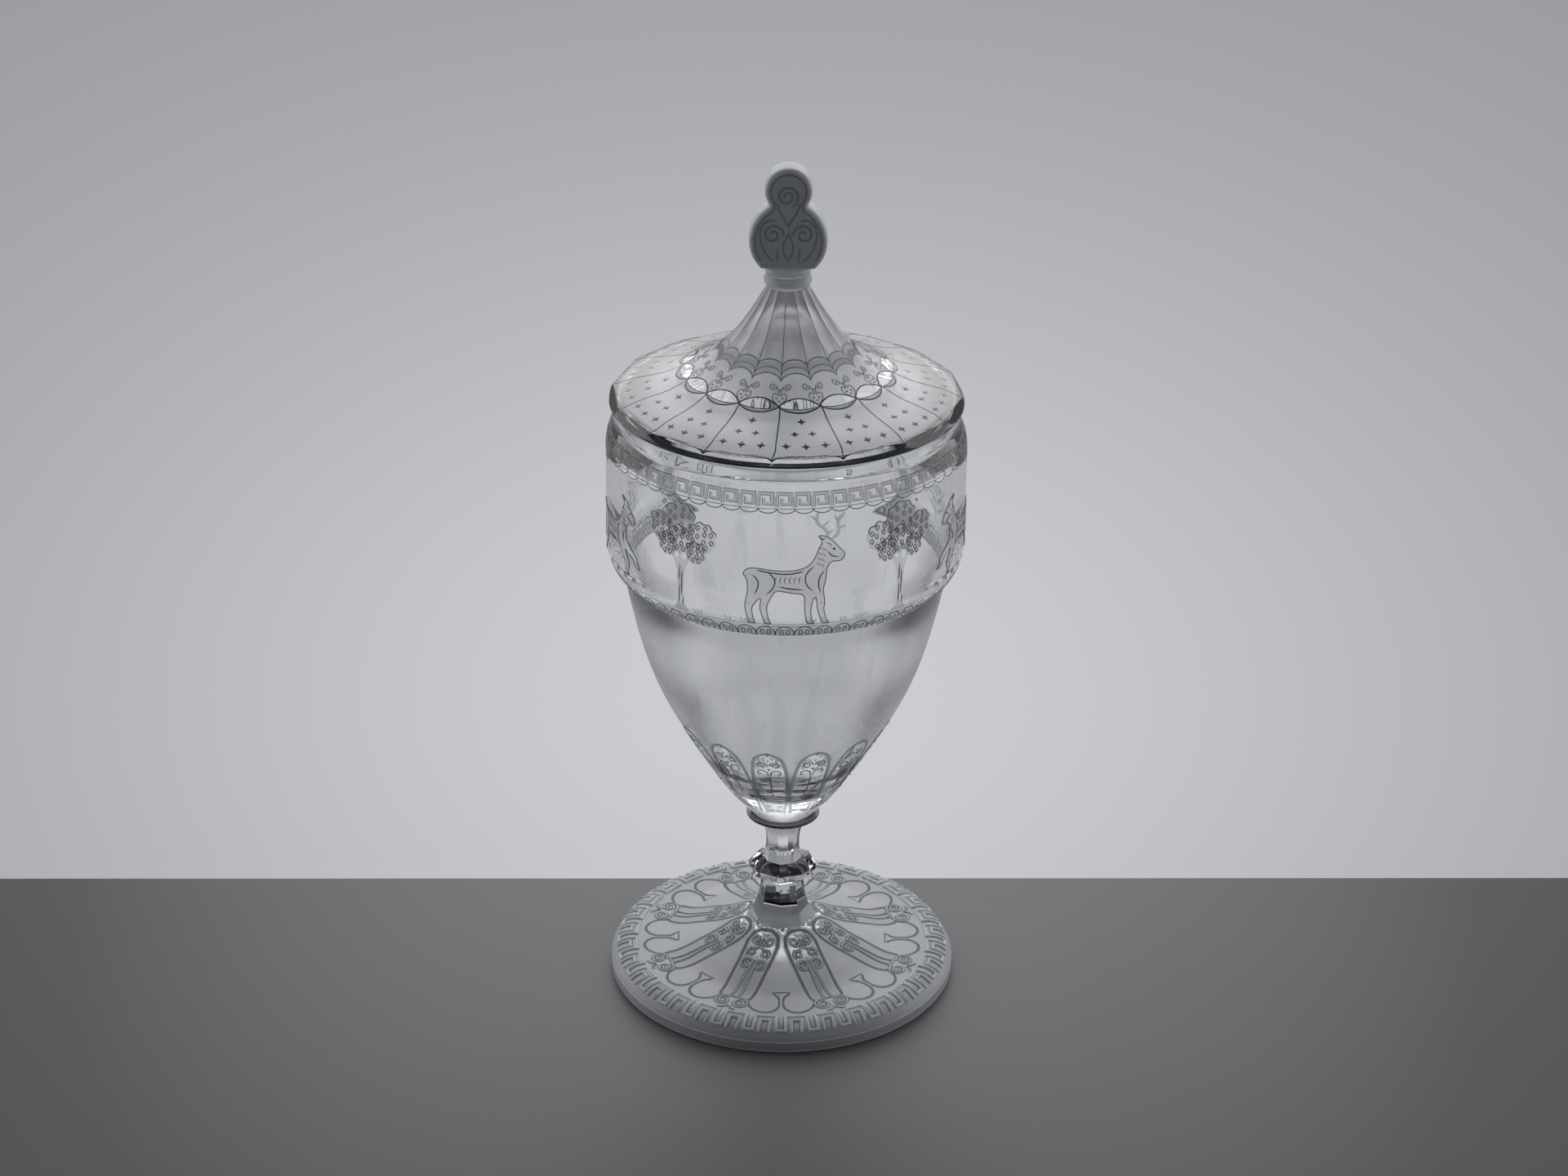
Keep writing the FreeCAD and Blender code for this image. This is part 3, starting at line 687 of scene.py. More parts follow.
# Plain glass bodies
def hollow_ground(waist_corner, waist_height, wheel, low, high, steps=14):
    """Corner radii of facets ground hollow by a wheel, from one height to another."""
    half = math.pi / FACETS
    stations = []
    for z in np.linspace(low, high, steps + 1):
        flat = waist_corner * math.cos(half) + wheel - math.sqrt(wheel ** 2 - (z - waist_height) ** 2)
        stations.append((flat / math.cos(half), z))
    return stations


# How far out the foot's facets are still felt, and the long panels between its petals
FACETS_END = 21.0
FACETS_FADE = 1.5
# Where the painted crescent highlights begin, past the corner of the stem's foot
CRESCENT_HIGHLIGHT_START = 1.8
FOOT_PANELS = 8
PALMETTE_HALF = 7.4
PANEL_REACH = (21.0, 54.0)


def foot_glass(size):
    dish_edge, depth = FOOT_DISH
    dish_radius = (dish_edge ** 2 + depth ** 2) / (2.0 * depth)
    across = np.linspace(0.0, dish_edge, 20)
    dish = [(r, math.sqrt(dish_radius ** 2 - r * r) - dish_radius + depth) for r in across]
    outline = foot_outline()
    steep = outline.points[:, 0] < FACETS_END + 1.0
    rise = evenly(outline.points[steep], 0.25)
    profile = joined(dish, [(FOOT_RADIUS - FOOT_BEVEL, 0.0)], outline.points[~steep], rise)

    def octagonal(r, z):
        if r >= FACETS_END or z <= FOOT_BORDER[1]:
            return 0.0
        return ((FACETS_END - r) / (FACETS_END - STEM_FOOT_CORNER)) ** FACETS_FADE

    def paint(angle, radius, height):
        half = math.pi / FACETS
        off = ((angle - FACET_TURN) % (2.0 * half) - half) / half
        swell = 1.0 - off ** 2
        polished_end = STEM_FOOT_CORNER + 0.3 + size.facet_arch / MM * swell
        upper = (height > FOOT_BEVEL) | (radius > FOOT_RADIUS - FOOT_BEVEL)
        numbers = (upper & (radius > polished_end)).astype(np.int32)
        # Painted highlight: a glowing crescent patch on each facet, from this start out to the end of the
        # polished ground
        start = STEM_FOOT_CORNER + 0.2 + CRESCENT_HIGHLIGHT_START * swell
        numbers[upper & (radius > start) & (radius < polished_end) & (height > FOOT_BORDER[1] + 1.0)] = 2
        between = (angle % (2.0 * math.pi / FOOT_PANELS) - math.pi / FOOT_PANELS) * radius
        low, high = PANEL_REACH
        numbers[(height > FOOT_BORDER[1] - 0.2) & (radius > low) & (radius < high)
                & (np.abs(between) < PALMETTE_HALF)] = 3
        return numbers

    draft = Draft()
    draft.turned([(r, z, octagonal(r, z)) for r, z in profile], size.columns, paint, start=FACET_TURN)
    painted = ("polished_glass", "satin_foot", "lit_crescent", "satin_panels")
    draft.build("foot_glass", GOBLET, painted, ["foot"])


STEM_COLUMNS = FACETS * 6


def stem_piece(node, stations, sharp=30.0):
    draft = Draft()
    draft.turned([(r, z, 1.0) for r, z in stations], STEM_COLUMNS, start=FACET_TURN)
    draft.build(node + "_glass", GOBLET, ("polished_glass",), [node], sharp)


def stem_glass():
    low, high = FOOT_TOP, top("stem_base")
    flat_rise = (STEM_FOOT_CORNER - STEM_WAIST_CORNER) * math.cos(math.pi / FACETS)
    wheel = ((high - low) ** 2 + flat_rise ** 2) / (2.0 * flat_rise)
    stem_piece("stem_base", hollow_ground(STEM_WAIST_CORNER, high, wheel, low, high))
    shaft_low, shaft_high = top("knop"), top("stem_shaft")
    shaft = hollow_ground(SHAFT_WAIST_CORNER, shaft_low + SHAFT_WAIST_RISE, SHAFT_WHEEL, shaft_low,
                          shaft_high)
    knop = [(STEM_WAIST_CORNER, high)] + [(r, high + z) for r, z in KNOP_STATIONS] + [shaft[0]]
    stem_piece("knop", knop, 12.0)
    stem_piece("stem_shaft", shaft)
    merese_glass(shaft[-1])


def merese_glass(shaft_end):
    """The collar under the bowl, with notches round its lower edge. Its underside and lower band are painted
    near-black as painted shade, and small teeth round the edge are painted bright as painted highlights.
    """
    under, rise = MERESE_UNDERSIDE
    shaft_high = shaft_end[1]
    edge = shaft_high + rise
    rim = reach("merese")
    neck = (BOWL_SIDE[0][0], bottom("bowl"))
    profile = [(*shaft_end, 1.0), (under, shaft_high, 0.0), (rim - 0.7, edge - 0.3, 0.0), (rim, edge, 0.0),
               (rim, edge + 0.4, 0.0), (rim, edge + MERESE_EDGE, 0.0), (rim - 0.8, edge + 1.5, 0.0),
               (*neck, 0.0)]

    def notch(angle, radius, height):
        share = np.clip(1.0 - np.abs(height - edge) / 0.9, 0.0, 1.0)
        return radius - 0.4 * share * np.cos(0.5 * MERESE_NOTCHES * angle) ** 2, height

    def paint(angle, radius, height):
        # Painted shade: the underside and the lower band take the near-black finish
        numbers = (height < edge + MERESE_EDGE).astype(np.int32)
        # Painted highlight: a short bright tooth at every notch along the edge
        tooth_highlight = np.sin(0.5 * MERESE_NOTCHES * (angle - FACET_TURN)) ** 2 > 0.5
        numbers[(height > edge - 0.4) & (height < edge + 0.4) & tooth_highlight] = 2
        return numbers

    collar = Draft()
    collar.turned(profile, MERESE_NOTCHES * 6, paint, notch, FACET_TURN)
    collar.build("merese_glass", GOBLET, ("polished_glass", "polished_cut", "bright_edge"),
                 ["merese"])


def bowl_glass(size):
    base = bottom("bowl")
    outline = bowl_outline()
    mouth, rim = outline.points[-1]
    inner = mouth - LIP_WALL
    inside = smooth_through([(r, base + z) for r, z in BOWL_INSIDE], 2.4)
    lip = joined(arc((mouth - RIM_ROUNDING, rim), RIM_ROUNDING, 0.0, 90.0, 4),
                 arc((inner + RIM_ROUNDING, rim), RIM_ROUNDING, 90.0, 180.0, 4),
                 evenly([(inner, rim), inside[0]], 3.0))
    profile = joined(outline.points, lip, inside)
    outer_rows = len(outline.points)
    satin_top = base + size.satin_top / MM

    def paint(angle, radius, height):
        numbers = np.zeros(radius.shape, np.int32)
        outer = np.arange(len(radius))[:, None] < outer_rows
        numbers[outer & (height < satin_top)] = 1
        numbers[outer & in_arch(angle, height - base)] = 0
        return numbers

    draft = Draft()
    draft.turned(profile, size.columns, paint)
    draft.build("bowl_glass", GOBLET, ("polished_glass", "satin_streaked"), ["bowl"])


ARCHES = 14
ARCH_START = math.radians(-8.4)
ARCH_TOP = 53.1
ARCH_SPRING = 45.5
ARCH_FOOT = 9.5
ARCH_HALVES = ((ARCH_FOOT, 13.0, 23.5, 33.0, 41.5, ARCH_SPRING), (4.2, 5.0, 7.4, 8.15, 8.1, 7.55))


def arch_half_width(rise, inset=0.85):
    """Half the width of an arched panel at a rise above the bowl's underside, in millimetres."""
    rise = np.asarray(rise, float)
    above = np.clip((rise - ARCH_SPRING) / (ARCH_TOP - ARCH_SPRING), 0.0, 1.0)
    straight = np.interp(rise, *ARCH_HALVES)
    return straight * np.sqrt(1.0 - above ** 2) - inset


def in_arch(angle, rise):
    """Whether a spot on the outside of the bowl is within one of the arched panels."""
    pitch = 2.0 * math.pi / ARCHES
    off = (angle - ARCH_START + 0.5 * pitch) % pitch - 0.5 * pitch
    radius = np.interp(rise, [z for _, z in BOWL_SIDE], [r for r, _ in BOWL_SIDE])
    within = (rise > ARCH_FOOT) & (rise < ARCH_TOP)
    return within & (np.abs(off) * radius < arch_half_width(rise))


def rim_facet(angle, radius, height):
    """Grinds a flat on the lid's rounded edge in each sector."""
    centre_radius = reach("lid_cover") - LID_ROUNDING
    centre_height = bottom("lid_cover") + LID_EDGE + LID_CROWN - LID_ROUNDING
    half = math.pi / LID_SECTORS
    tilt = RIM_FACET_TILT
    level = math.cos(half) * math.cos(tilt)
    distance = centre_radius * level + centre_height * math.sin(tilt)
    distance += LID_ROUNDING * math.hypot(level, math.sin(tilt))
    off = (angle - LID_TURN) % (2.0 * half) - half
    out, up = radius - centre_radius, height - centre_height
    facing = np.cos(off) * math.cos(tilt)
    inner = centre_radius * facing + centre_height * math.sin(tilt)
    outward = out * facing + up * math.sin(tilt)
    share = np.clip((distance - inner) / np.maximum(outward, 1e-6), 0.0, 1.0)
    share = np.where(outward > 0.0, share, 1.0)
    return centre_radius + share * out, centre_height + share * up


def fluted(angle, radius, height):
    """Hollows the spire between its ribs."""
    half = math.pi / LID_SECTORS
    off = ((angle - LID_TURN) % (2.0 * half) - half) / half
    start = bottom("lid_cover") + LID_EDGE + FLUTE_START
    length = top("lid_cover") - start
    ramp = np.clip((height - start) / (0.3 * length), 0.0, 1.0)
    narrowing = np.clip(0.25 + 0.75 * radius / 21.6, 0.0, 1.0)
    hollow = np.clip(ramp - off ** 2, 0.0, 1.0)
    return radius - FLUTE_DEPTH * narrowing * hollow, height


def lid_glass(size):
    seat = bottom("lid_cover")
    edge = seat + LID_EDGE
    radius = reach("lid_cover")
    centre = (radius - LID_ROUNDING, edge + LID_CROWN - LID_ROUNDING)
    rounding = arc(centre, LID_ROUNDING, 0.0, 90.0, 28)
    under = [(LID_CAVITY[0][0] + FLANGE_WALL, seat), (radius - LID_BEVEL, seat), (radius, seat + LID_BEVEL),
             (radius, seat + 0.95)]
    sweep = smooth_through([rounding[-1]] + [(r, edge + z) for r, z in LID_STATIONS], 0.6)

    def reshape(angle, r, z):
        r, z = fluted(angle, r, z)
        facet_r, facet_z = rim_facet(angle, r, z)
        near = (r > centre[0] - 0.4) & (z > centre[1] - 0.9)
        return np.where(near, facet_r, r), np.where(near, facet_z, z)

    def paint(angle, r, z):
        numbers = np.full(r.shape, 1, np.int32)
        half = math.pi / LID_SECTORS
        off = ((angle - LID_TURN) % (2.0 * half) - half) / half
        lens = centre[0] - size.lens_depth / MM * (1.0 - off ** 2)
        numbers[(r > lens) | (z < centre[1])] = 0
        # Painted shade: a near-black band round the lid's lower edge and bevel
        numbers[(z < seat + 1.1) & (r > radius - 3.0)] = 3
        swell = 1.0 - off ** 2
        numbers[(r > LENS_TIP - 4.4 * swell) & (r < LENS_TIP + 1.2 * swell)] = 0
        start = edge + FLUTE_START - 1.4
        numbers[(z > start) & (r < 30.0)] = 2
        return numbers

    draft = Draft()
    draft.turned(joined(under, rounding, sweep), size.columns, paint, reshape, LID_TURN)
    cavity = smooth_through([(r, edge + z) for r, z in LID_CAVITY], 1.3)
    draft.turned(cavity[::-1], size.columns // 2, start=LID_TURN)
    painted = ("polished_glass", "satin_ground", "satin_flutes", "polished_cut")
    draft.build("lid_glass", LID, painted, ["lid_cover"])
    flange_glass(size, seat)


def flange_glass(size, seat):
    low = bottom("lid_flange")
    inner = LID_CAVITY[0][0]
    outer = inner + FLANGE_WALL
    bevel = 0.7
    flange = Draft()
    flange.turned([(inner, seat), (inner, low + bevel), (inner + bevel, low), (outer - bevel, low),
                   (outer, low + bevel), (outer, seat)], size.columns)
    flange.build("flange_glass", LID, ("polished_glass",), ["lid_flange"])


def neck_glass():
    waist = LID_STATIONS[-1][0]
    for node, closed_below in (("neck_ring_lower", True), ("neck_ring_upper", False)):
        low, high, wide = bottom(node), top(node), reach(node)
        half = 0.5 * (high - low)
        profile = arc_through((waist, low), (wide, low + half), (waist, high), 14)
        ends = [(waist - 1.4, low)] if closed_below else []
        cap = [] if closed_below else [(0.0, high)]
        points = joined(ends + [tuple(profile[0])], profile, [tuple(profile[-1])] + cap)
        ring = Draft()
        ring.turned(points, 96)
        ring.build(node + "_glass", LID, ("satin_panels",), [node])


# Finial sizes, from its foot upwards
FINIAL_FOOT = 11.8
FINIAL_WIDEST_RISE = 11.4
FINIAL_WAIST = (7.6, 26.6)
FINIAL_WAIST_ROUNDING = 1.6
FINIAL_ROUNDING = 2.2


def finial_side():
    """The right-hand side of the finial, from its foot to the top of its crown."""
    base = bottom("finial")
    widest = (reach("finial"), base + FINIAL_WIDEST_RISE)

    def flank(end):
        across = widest[0] - end[0]
        along = end[1] - widest[1]
        radius = (across ** 2 + along ** 2) / (2.0 * across)
        centre = (widest[0] - radius, widest[1])
        stop = math.degrees(math.atan2(along, end[0] - centre[0]))
        return arc(centre, radius, 0.0, stop, 20)

    foot = (FINIAL_FOOT, base)
    waist = (FINIAL_WAIST[0], base + FINIAL_WAIST[1])
    crown = arc_through(waist, (0.0, top("finial")), (-waist[0], waist[1]), 48)[:25]
    side = joined(flank(foot)[::-1], flank(waist), crown)
    # The notch at the waist is rounded by pulling its neighbours together
    gap = np.hypot(*(side - waist).T)
    near = gap < FINIAL_WAIST_ROUNDING
    first, last = np.flatnonzero(near)[[0, -1]]
    start, end = side[first - 1], side[last + 1]
    share = np.linspace(0.0, 1.0, 9)[:, None]
    soft = (1.0 - share) ** 2 * start + 2.0 * share * (1.0 - share) * np.array(waist) + share ** 2 * end
    return joined(side[:first], soft, side[last + 1:])


def finial_glass():
    base = bottom("finial") + 0.02
    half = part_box("finial")[1].y / MM
    side = evenly(finial_side(), 0.8)
    whole = joined(side, mirrored(side))
    turns = np.radians(np.linspace(-90.0, 90.0, 13))
    rings = []
    for sign, turn in [(-1.0, t) for t in turns[:7]] + [(1.0, t) for t in turns[6:]]:
        ring = side_step(whole, -FINIAL_ROUNDING * (1.0 - math.cos(turn)))
        ring[0, 1] = ring[-1, 1] = base
        ring[:, 1] = np.maximum(ring[:, 1], base)
        depth = (half - FINIAL_ROUNDING) * sign + FINIAL_ROUNDING * math.sin(turn)
        rings.append(np.column_stack([ring[:, 0], np.full(len(ring), depth), ring[:, 1]]))
    rings = np.array(rings)
    count, across = rings.shape[:2]
    faces = []
    for i in range(count - 1):
        for j in range(across):
            k = (j + 1) % across
            a, b = i * across, (i + 1) * across
            faces.append((a + j, b + j, b + k, a + k))
    faces.append(tuple(range(across)))
    faces.append(tuple(reversed(range((count - 1) * across, count * across))))
    draft = Draft()
    draft.add(rings.reshape(-1, 3), faces)
    draft.build("finial_glass", LID, ("satin_finial",), ["finial"], 20.0)


# Drawings for a surface seen from above measure outwards, so they are turned over
FROM_AXIS = (1.0, -1.0)


class Plan:
    """A turned surface seen from above: drawn points are (sideways, distance from the axis)."""

    def __init__(self, outline):
        self.outline = outline

    def cover(self, drawn, angle, moved):
        radius = moved - drawn[:, 1]
        length = np.interp(-radius, -self.outline.points[:, 0], self.outline.lengths)
        turn = angle + drawn[:, 0] / np.maximum(radius, 1e-6)
        return self.outline.place(turn, length, drawn[:, 2])


def softened(loop, rounds=2):
    """A closed loop with its corners cut off, round after round."""
    loop = np.array(loop, float)
    for _ in range(rounds):
        ahead = np.roll(loop, -1, 0)
        loop = np.stack([0.78 * loop + 0.22 * ahead, 0.22 * loop + 0.78 * ahead], 1).reshape(-1, 2)
    return loop


def engrave(dark, pale, path, width=0.8, gap=0.25, closed=False, tip=0.0):
    """A polished cut with a thin bright burr along each side."""
    dark.line(path, width, closed=closed, tip=tip)
    for side in (-1.0, 1.0):
        pale.line(side_step(path, side * (0.5 * width + gap), closed), 0.4, 0.1, closed=closed, tip=tip)


# Engraving of the foot. Here a drawn height is a distance from the axis.
LOBE = (7.9, 55.8, 7.1)
KEY_UNITS = 32
KEY_BAND = (66.4, 74.4)


def petal_drawing(dark, pale):
    """The drop-shaped field between two palmettes, with two lobes and a small flower."""
    spread = math.pi / FOOT_PANELS
    x, y, radius = LOBE
    flank = [(r * spread - PALMETTE_HALF, r) for r in np.linspace(22.5, y - 3.0, 12)]
    lobe = arc((x, y), radius, -8.0, 178.0, 20)
    stem = smooth_through([(0.8, y - 1.0), (0.8, 53.0), (1.6, 50.2), (3.6, 47.9)], 0.8)
    side = joined(flank, lobe, stem)
    for path in (side, mirrored(side)[::-1]):
        engrave(dark, pale, path, 1.5, 0.35)
    dark.line([(-4.1, 47.2), (4.1, 47.2)], 0.7)
    pale.line([(-4.1, 46.3), (4.1, 46.3)], 0.6)
    pale.line([(-2.8, 48.6), (2.8, 48.6)], 0.5)


def ridge(dark, pale, path, width, tip=0.0):
    """A bright raised line with a dark groove along each side."""
    pale.line(path, width, 0.45, tip=tip)
    for side in (-1.0, 1.0):
        dark.line(side_step(path, side * (0.5 * width + 0.3)), 0.5, tip=tip)


def palmette_drawing(dark, pale):
    """The long panel with a round top, rows of scrolls, a stem and two volutes."""
    engrave(dark, pale, arc((0.0, 23.2), 7.0, 180.0, 360.0, 24), 1.5, 0.35)
    for side in (-1.0, 1.0):
        scroll = joined(spiral((side * 2.9, 21.6), 2.5, 0.5, 90.0 + side * 90.0, -side * 1.25)[::-1],
                        smooth_through([(side * 0.5, 22.0), (side * 1.0, 25.2), (side * 4.4, 26.0)],
                                       0.5)[1:],
                        spiral((side * 3.3, 27.8), 2.2, 0.5, 90.0 - side * 40.0, -side * 1.3)[1:])
        ridge(dark, pale, scroll, 0.45)
        ridge(dark, pale, spiral((side * 3.2, 34.0), 3.0, 0.6, 90.0 + side * 130.0, side * 1.6), 0.5)
        ridge(dark, pale, [(0.0, 19.6), (side * 2.0, 17.6)], 0.4, 1.0)
        ridge(dark, pale, smooth_through([(side * 0.9, 31.0), (side * 1.1, 38.4), (side * 1.8, 53.0)], 1.2),
              0.5)
        ridge(dark, pale, spiral((side * 4.2, 58.4), 3.9, 0.7, 90.0 + side * 150.0, side * 1.9), 0.75)
        leaf_edge = smooth_through([(side * 0.3, 60.6), (side * 1.6, 63.2), (side * 4.6, 63.9)], 0.6)
        ridge(dark, pale, leaf_edge, 0.4, 1.0)
    ridge(dark, pale, [(-3.2, 54.0), (3.2, 54.0)], 0.7)
    for r in (18.6, 25.0, 29.6):
        pale.dot((0.0, r), 0.7)


def key_drawing(relief, dark):
    """One unit of the raised Greek key round the foot. The bars are raised, and their pale matt finish,
    lighter than the foot's satin, is partly a painted highlight; the dark lines beside them are painted
    shadow edges.
    """
    low, high = KEY_BAND
    half = math.pi / KEY_UNITS * 70.0
    outer = [(-half, low), (-2.0, low), (-2.0, high), (2.0, high), (2.0, low), (half, low)]
    relief.line(outer, 1.25, 0.75)
    # Painted shadow edges: dark lines beside the raised bars
    dark.line([(-1.05, low - 0.4), (-1.05, high - 1.0), (1.05, high - 1.0), (1.05, low - 0.4)], 0.35)
    hook = [(half - 2.2, high + 0.6), (half - 2.2, low + 2.9), (half + 2.2, low + 2.9),
            (half + 2.2, high + 0.6)]
    relief.line(hook, 1.25, 0.75)
    dark.line(side_step(hook, -0.95), 0.35)
    dark.line(side_step(hook, 1.0)[1:3], 0.4)


def foot_engraving():
    plan = Plan(foot_outline())
    petal, petal_pale = Drawing(), Drawing()
    petal_drawing(petal, petal_pale)
    palmette, palmette_pale = Drawing(0.8), Drawing(0.8)
    palmette_drawing(palmette, palmette_pale)
    draft = Draft()
    for i in range(FOOT_PANELS):
        angle = 2.0 * math.pi * i / FOOT_PANELS
        between = angle + math.pi / FOOT_PANELS
        draft.stamp(petal, plan, angle, 0.0, 0, FROM_AXIS)
        draft.stamp(petal_pale, plan, angle, 0.0, 1, FROM_AXIS)
        draft.stamp(palmette, plan, between, 0.0, 0, FROM_AXIS)
        draft.stamp(palmette_pale, plan, between, 0.0, 1, FROM_AXIS)
    draft.build("foot_engraving", GOBLET, ("satin_bands", "matt_engraving"))
    key, key_shadow_lines = Drawing(1.2), Drawing(1.2)
    key_drawing(key, key_shadow_lines)
    border = Draft()
    for i in range(KEY_UNITS):
        angle = 2.0 * math.pi * i / KEY_UNITS
        border.stamp(key, plan, angle, 0.0, 1, FROM_AXIS)
        border.stamp(key_shadow_lines, plan, angle, 0.0, 0, FROM_AXIS)
    columns = 256
    outline = plan.outline
    step = 2.0 * math.pi * FOOT_RADIUS / columns
    # Painted highlight: two thin bright rings, one near the bottom of the foot's upright edge and one just
    # above its top
    ring = Drawing()
    ring.line([(-0.5 * step, 0.0), (0.5 * step, 0.0)], 0.4, 0.04)
    for i in range(columns):
        for along in (0.3, outline.at_height(FOOT_EDGE) + 0.4):
            border.stamp(ring, outline, 2.0 * math.pi * i / columns, along, 2)
    border.build("foot_border", GOBLET, ("satin_bands", "matt_engraving", "bright_edge"))


# Engraving of the bowl. Here a drawn height is a length up the surface.
def arch_drawing(band, lines, outline):
    """An arched panel with a satin band, a double scroll, a stem and rows of curls."""
    base = bottom("bowl")
    start = outline.at_height(base + ARCH_SPRING)

    def up(rise):
        return outline.at_height(base + float(rise)) - start

    turns = np.linspace(0.1, 0.5 * math.pi, 12)
    crown = ARCH_SPRING + (ARCH_TOP - ARCH_SPRING) * np.sin(turns)
    rises = np.concatenate([np.linspace(ARCH_FOOT + 0.3, ARCH_SPRING, 22), crown])
    side = [(float(arch_half_width(r, 0.0)) - 0.75, up(r)) for r in rises[:-1]]
    middle = [(0.0, up(ARCH_TOP) - 0.75)]
    whole = joined(side, middle, mirrored(side))
    band.line(whole, 1.7, 0.28)
    for sign in (-1.0, 1.0):
        scroll = spiral((sign * 3.0, up(45.4)), 2.5, 0.6, 90.0 + sign * 100.0, -sign * 1.45)
        lines.line(scroll, 0.7)
        curl = smooth_through([(sign * 0.5, up(37.5)), (sign * 1.1, up(40.4)), (sign * 3.2, up(41.6)),
                               (sign * 5.0, up(40.4)), (sign * 4.3, up(38.9)), (sign * 3.2, up(39.5))], 0.5)
        lines.line(curl, 0.65, tip=0.8)
        lines.line([(sign * 1.2, up(36.0)), (sign * 3.6, up(32.6))], 0.3, tip=1.0)
        for rise, x in ((18.4, 2.6), (14.6, 2.3), (11.2, 1.6)):
            lines.line(spiral((sign * x, up(rise)), 1.15, 0.3, 90.0 - sign * 90.0, sign * 1.2), 0.4)
    lines.line([(0.0, up(37.4)), (0.0, up(24.6))], 0.7, tip=2.0)
    for rise in (36.8, 34.4):
        lines.line([(-0.9, up(rise)), (0.9, up(rise))], 0.4)
    for rise, size in ((48.4, 0.5), (42.4, 0.6), (23.6, 0.6)):
        lines.dot((0.0, up(rise)), size)
    return start


def key_unit(dark, pale, half):
    """One unit of the Greek key under the mouth, with a scallop below it."""
    hook = [(-half, 0.3), (-half, 5.9), (half - 1.9, 5.9), (half - 1.9, 1.9), (-half + 2.3, 1.9),
            (-half + 2.3, 4.0)]
    pale.line(hook, 1.0, 0.2)
    pale.line([(half - 0.6, 0.3), (half - 0.6, 4.6)], 0.7, 0.2)
    dark.line([(-half + 0.75, 0.5), (-half + 0.75, 5.2), (half - 2.6, 5.2), (half - 2.6, 2.6)], 0.3)
    dark.line([(-half + 1.6, 4.2), (-half + 1.6, 1.2), (half - 1.2, 1.2), (half - 1.2, 6.5), (-half, 6.5)],
              0.3)
    scallop = [(half * math.cos(a), -0.3 - 1.9 * math.sin(a)) for a in np.linspace(0.0, math.pi, 9)]
    dark.line(scallop, 0.45)
    dark.line([(-half, -0.3), (half, -0.3)], 0.3)


def tongue_unit(dark, pale, half):
    """One unit of the border below the frieze: a scallop with two tongues, on a line."""
    outer = [(half * math.cos(a), 0.6 + 6.6 * math.sin(a) ** 0.8) for a in np.linspace(0.0, math.pi, 13)]
    dark.line(outer, 0.7, 0.2)
    pale.line([(0.78 * x, 0.6 + 0.82 * (y - 0.6)) for x, y in outer], 0.35)
    turns = np.linspace(0.0, 2.0 * math.pi, 9)[:-1]
    for side in (-1.0, 1.0):
        x = side * 0.33 * half
        tongue = [(x + 0.75 * math.cos(a), 3.0 + 2.0 * math.sin(a)) for a in turns]
        dark.line(tongue, 0.6, 0.2, closed=True)
    dark.line([(-half, 0.0), (half, 0.0)], 0.7, 0.2)
    pale.line([(-half, -0.8), (half, -0.8)], 0.35)


BORDERS = ((64, 181.0, key_unit), (58, 121.4, tongue_unit))


def bowl_borders():
    """The arched panels low on the bowl, and the two borders of its band."""
    outline = bowl_outline()
    base = bottom("bowl")
    band, lines = Drawing(), Drawing(0.7)
    start = arch_drawing(band, lines, outline)
    panels = Draft()
    for i in range(ARCHES):
        angle = ARCH_START + 2.0 * math.pi * i / ARCHES
        panels.stamp(band, outline, angle, start, 1)
        panels.stamp(lines, outline, angle, start, 0)
    panels.build("bowl_arches", GOBLET, ("satin_grooves", "satin_arches"))
    borders = Draft()
    for units, rise, maker in BORDERS:
        along = outline.at_height(base + rise)
        radius = float(outline.radius(along + 3.0))
        dark, pale = Drawing(1.0), Drawing(1.0)
        maker(dark, pale, math.pi * radius / units)
        for i in range(units):
            angle = 2.0 * math.pi * i / units
            borders.stamp(dark, outline, angle, along, 0)
            borders.stamp(pale, outline, angle, along, 1)
    borders.build("bowl_borders", GOBLET, ("satin_grooves", "satin_figures"))


# The frieze: deer, trees and sprigs, each drawn above its own ground line
STAG = ((18.4, 25.6), (18.0, 24.2), (16.6, 22.9), (13.6, 23.2), (12.0, 21.0), (11.8, 16.5), (10.8, 13.2),
        (11.6, 8.0), (11.0, 5.6), (12.2, 1.2), (13.2, 0.0), (10.6, 0.0), (10.2, 1.6), (9.0, 5.6),
        (8.5, 10.4),
        (7.4, 9.4), (6.6, 5.4), (7.2, 1.4), (8.0, 0.0), (5.6, 0.0), (5.2, 1.6), (4.6, 5.6), (4.8, 11.4),
        (0.0, 12.0), (-5.0, 13.0), (-6.6, 10.6), (-8.4, 6.6), (-7.4, 1.6), (-6.4, 0.0), (-8.9, 0.0),
        (-9.2, 1.8), (-10.6, 6.4), (-9.9, 9.8), (-11.4, 9.0), (-13.4, 6.2), (-12.6, 1.6), (-11.8, 0.0),
        (-14.3, 0.0), (-14.6, 1.8), (-15.8, 6.8), (-14.6, 12.0), (-14.8, 16.5), (-16.4, 18.4),
        (-15.2, 20.2),
        (-13.0, 21.0), (-6.0, 20.2), (0.0, 20.0), (5.0, 21.2), (7.6, 23.8), (9.2, 28.0), (10.6, 30.6),
        (8.6, 33.0), (12.0, 32.4), (14.2, 30.4), (16.6, 27.4))
ANTLERS = (((12.4, 31.4), (11.6, 34.6), (8.6, 37.8), (9.0, 41.8)), ((11.9, 33.4), (14.6, 34.6)),
           ((10.4, 36.0), (12.8, 38.2)), ((8.6, 38.2), (6.0, 40.4)),
           ((13.2, 31.0), (15.8, 33.8), (15.6, 37.4), (18.2, 40.6)), ((15.8, 35.2), (18.8, 35.8)),
           ((15.6, 37.4), (14.2, 40.4)))
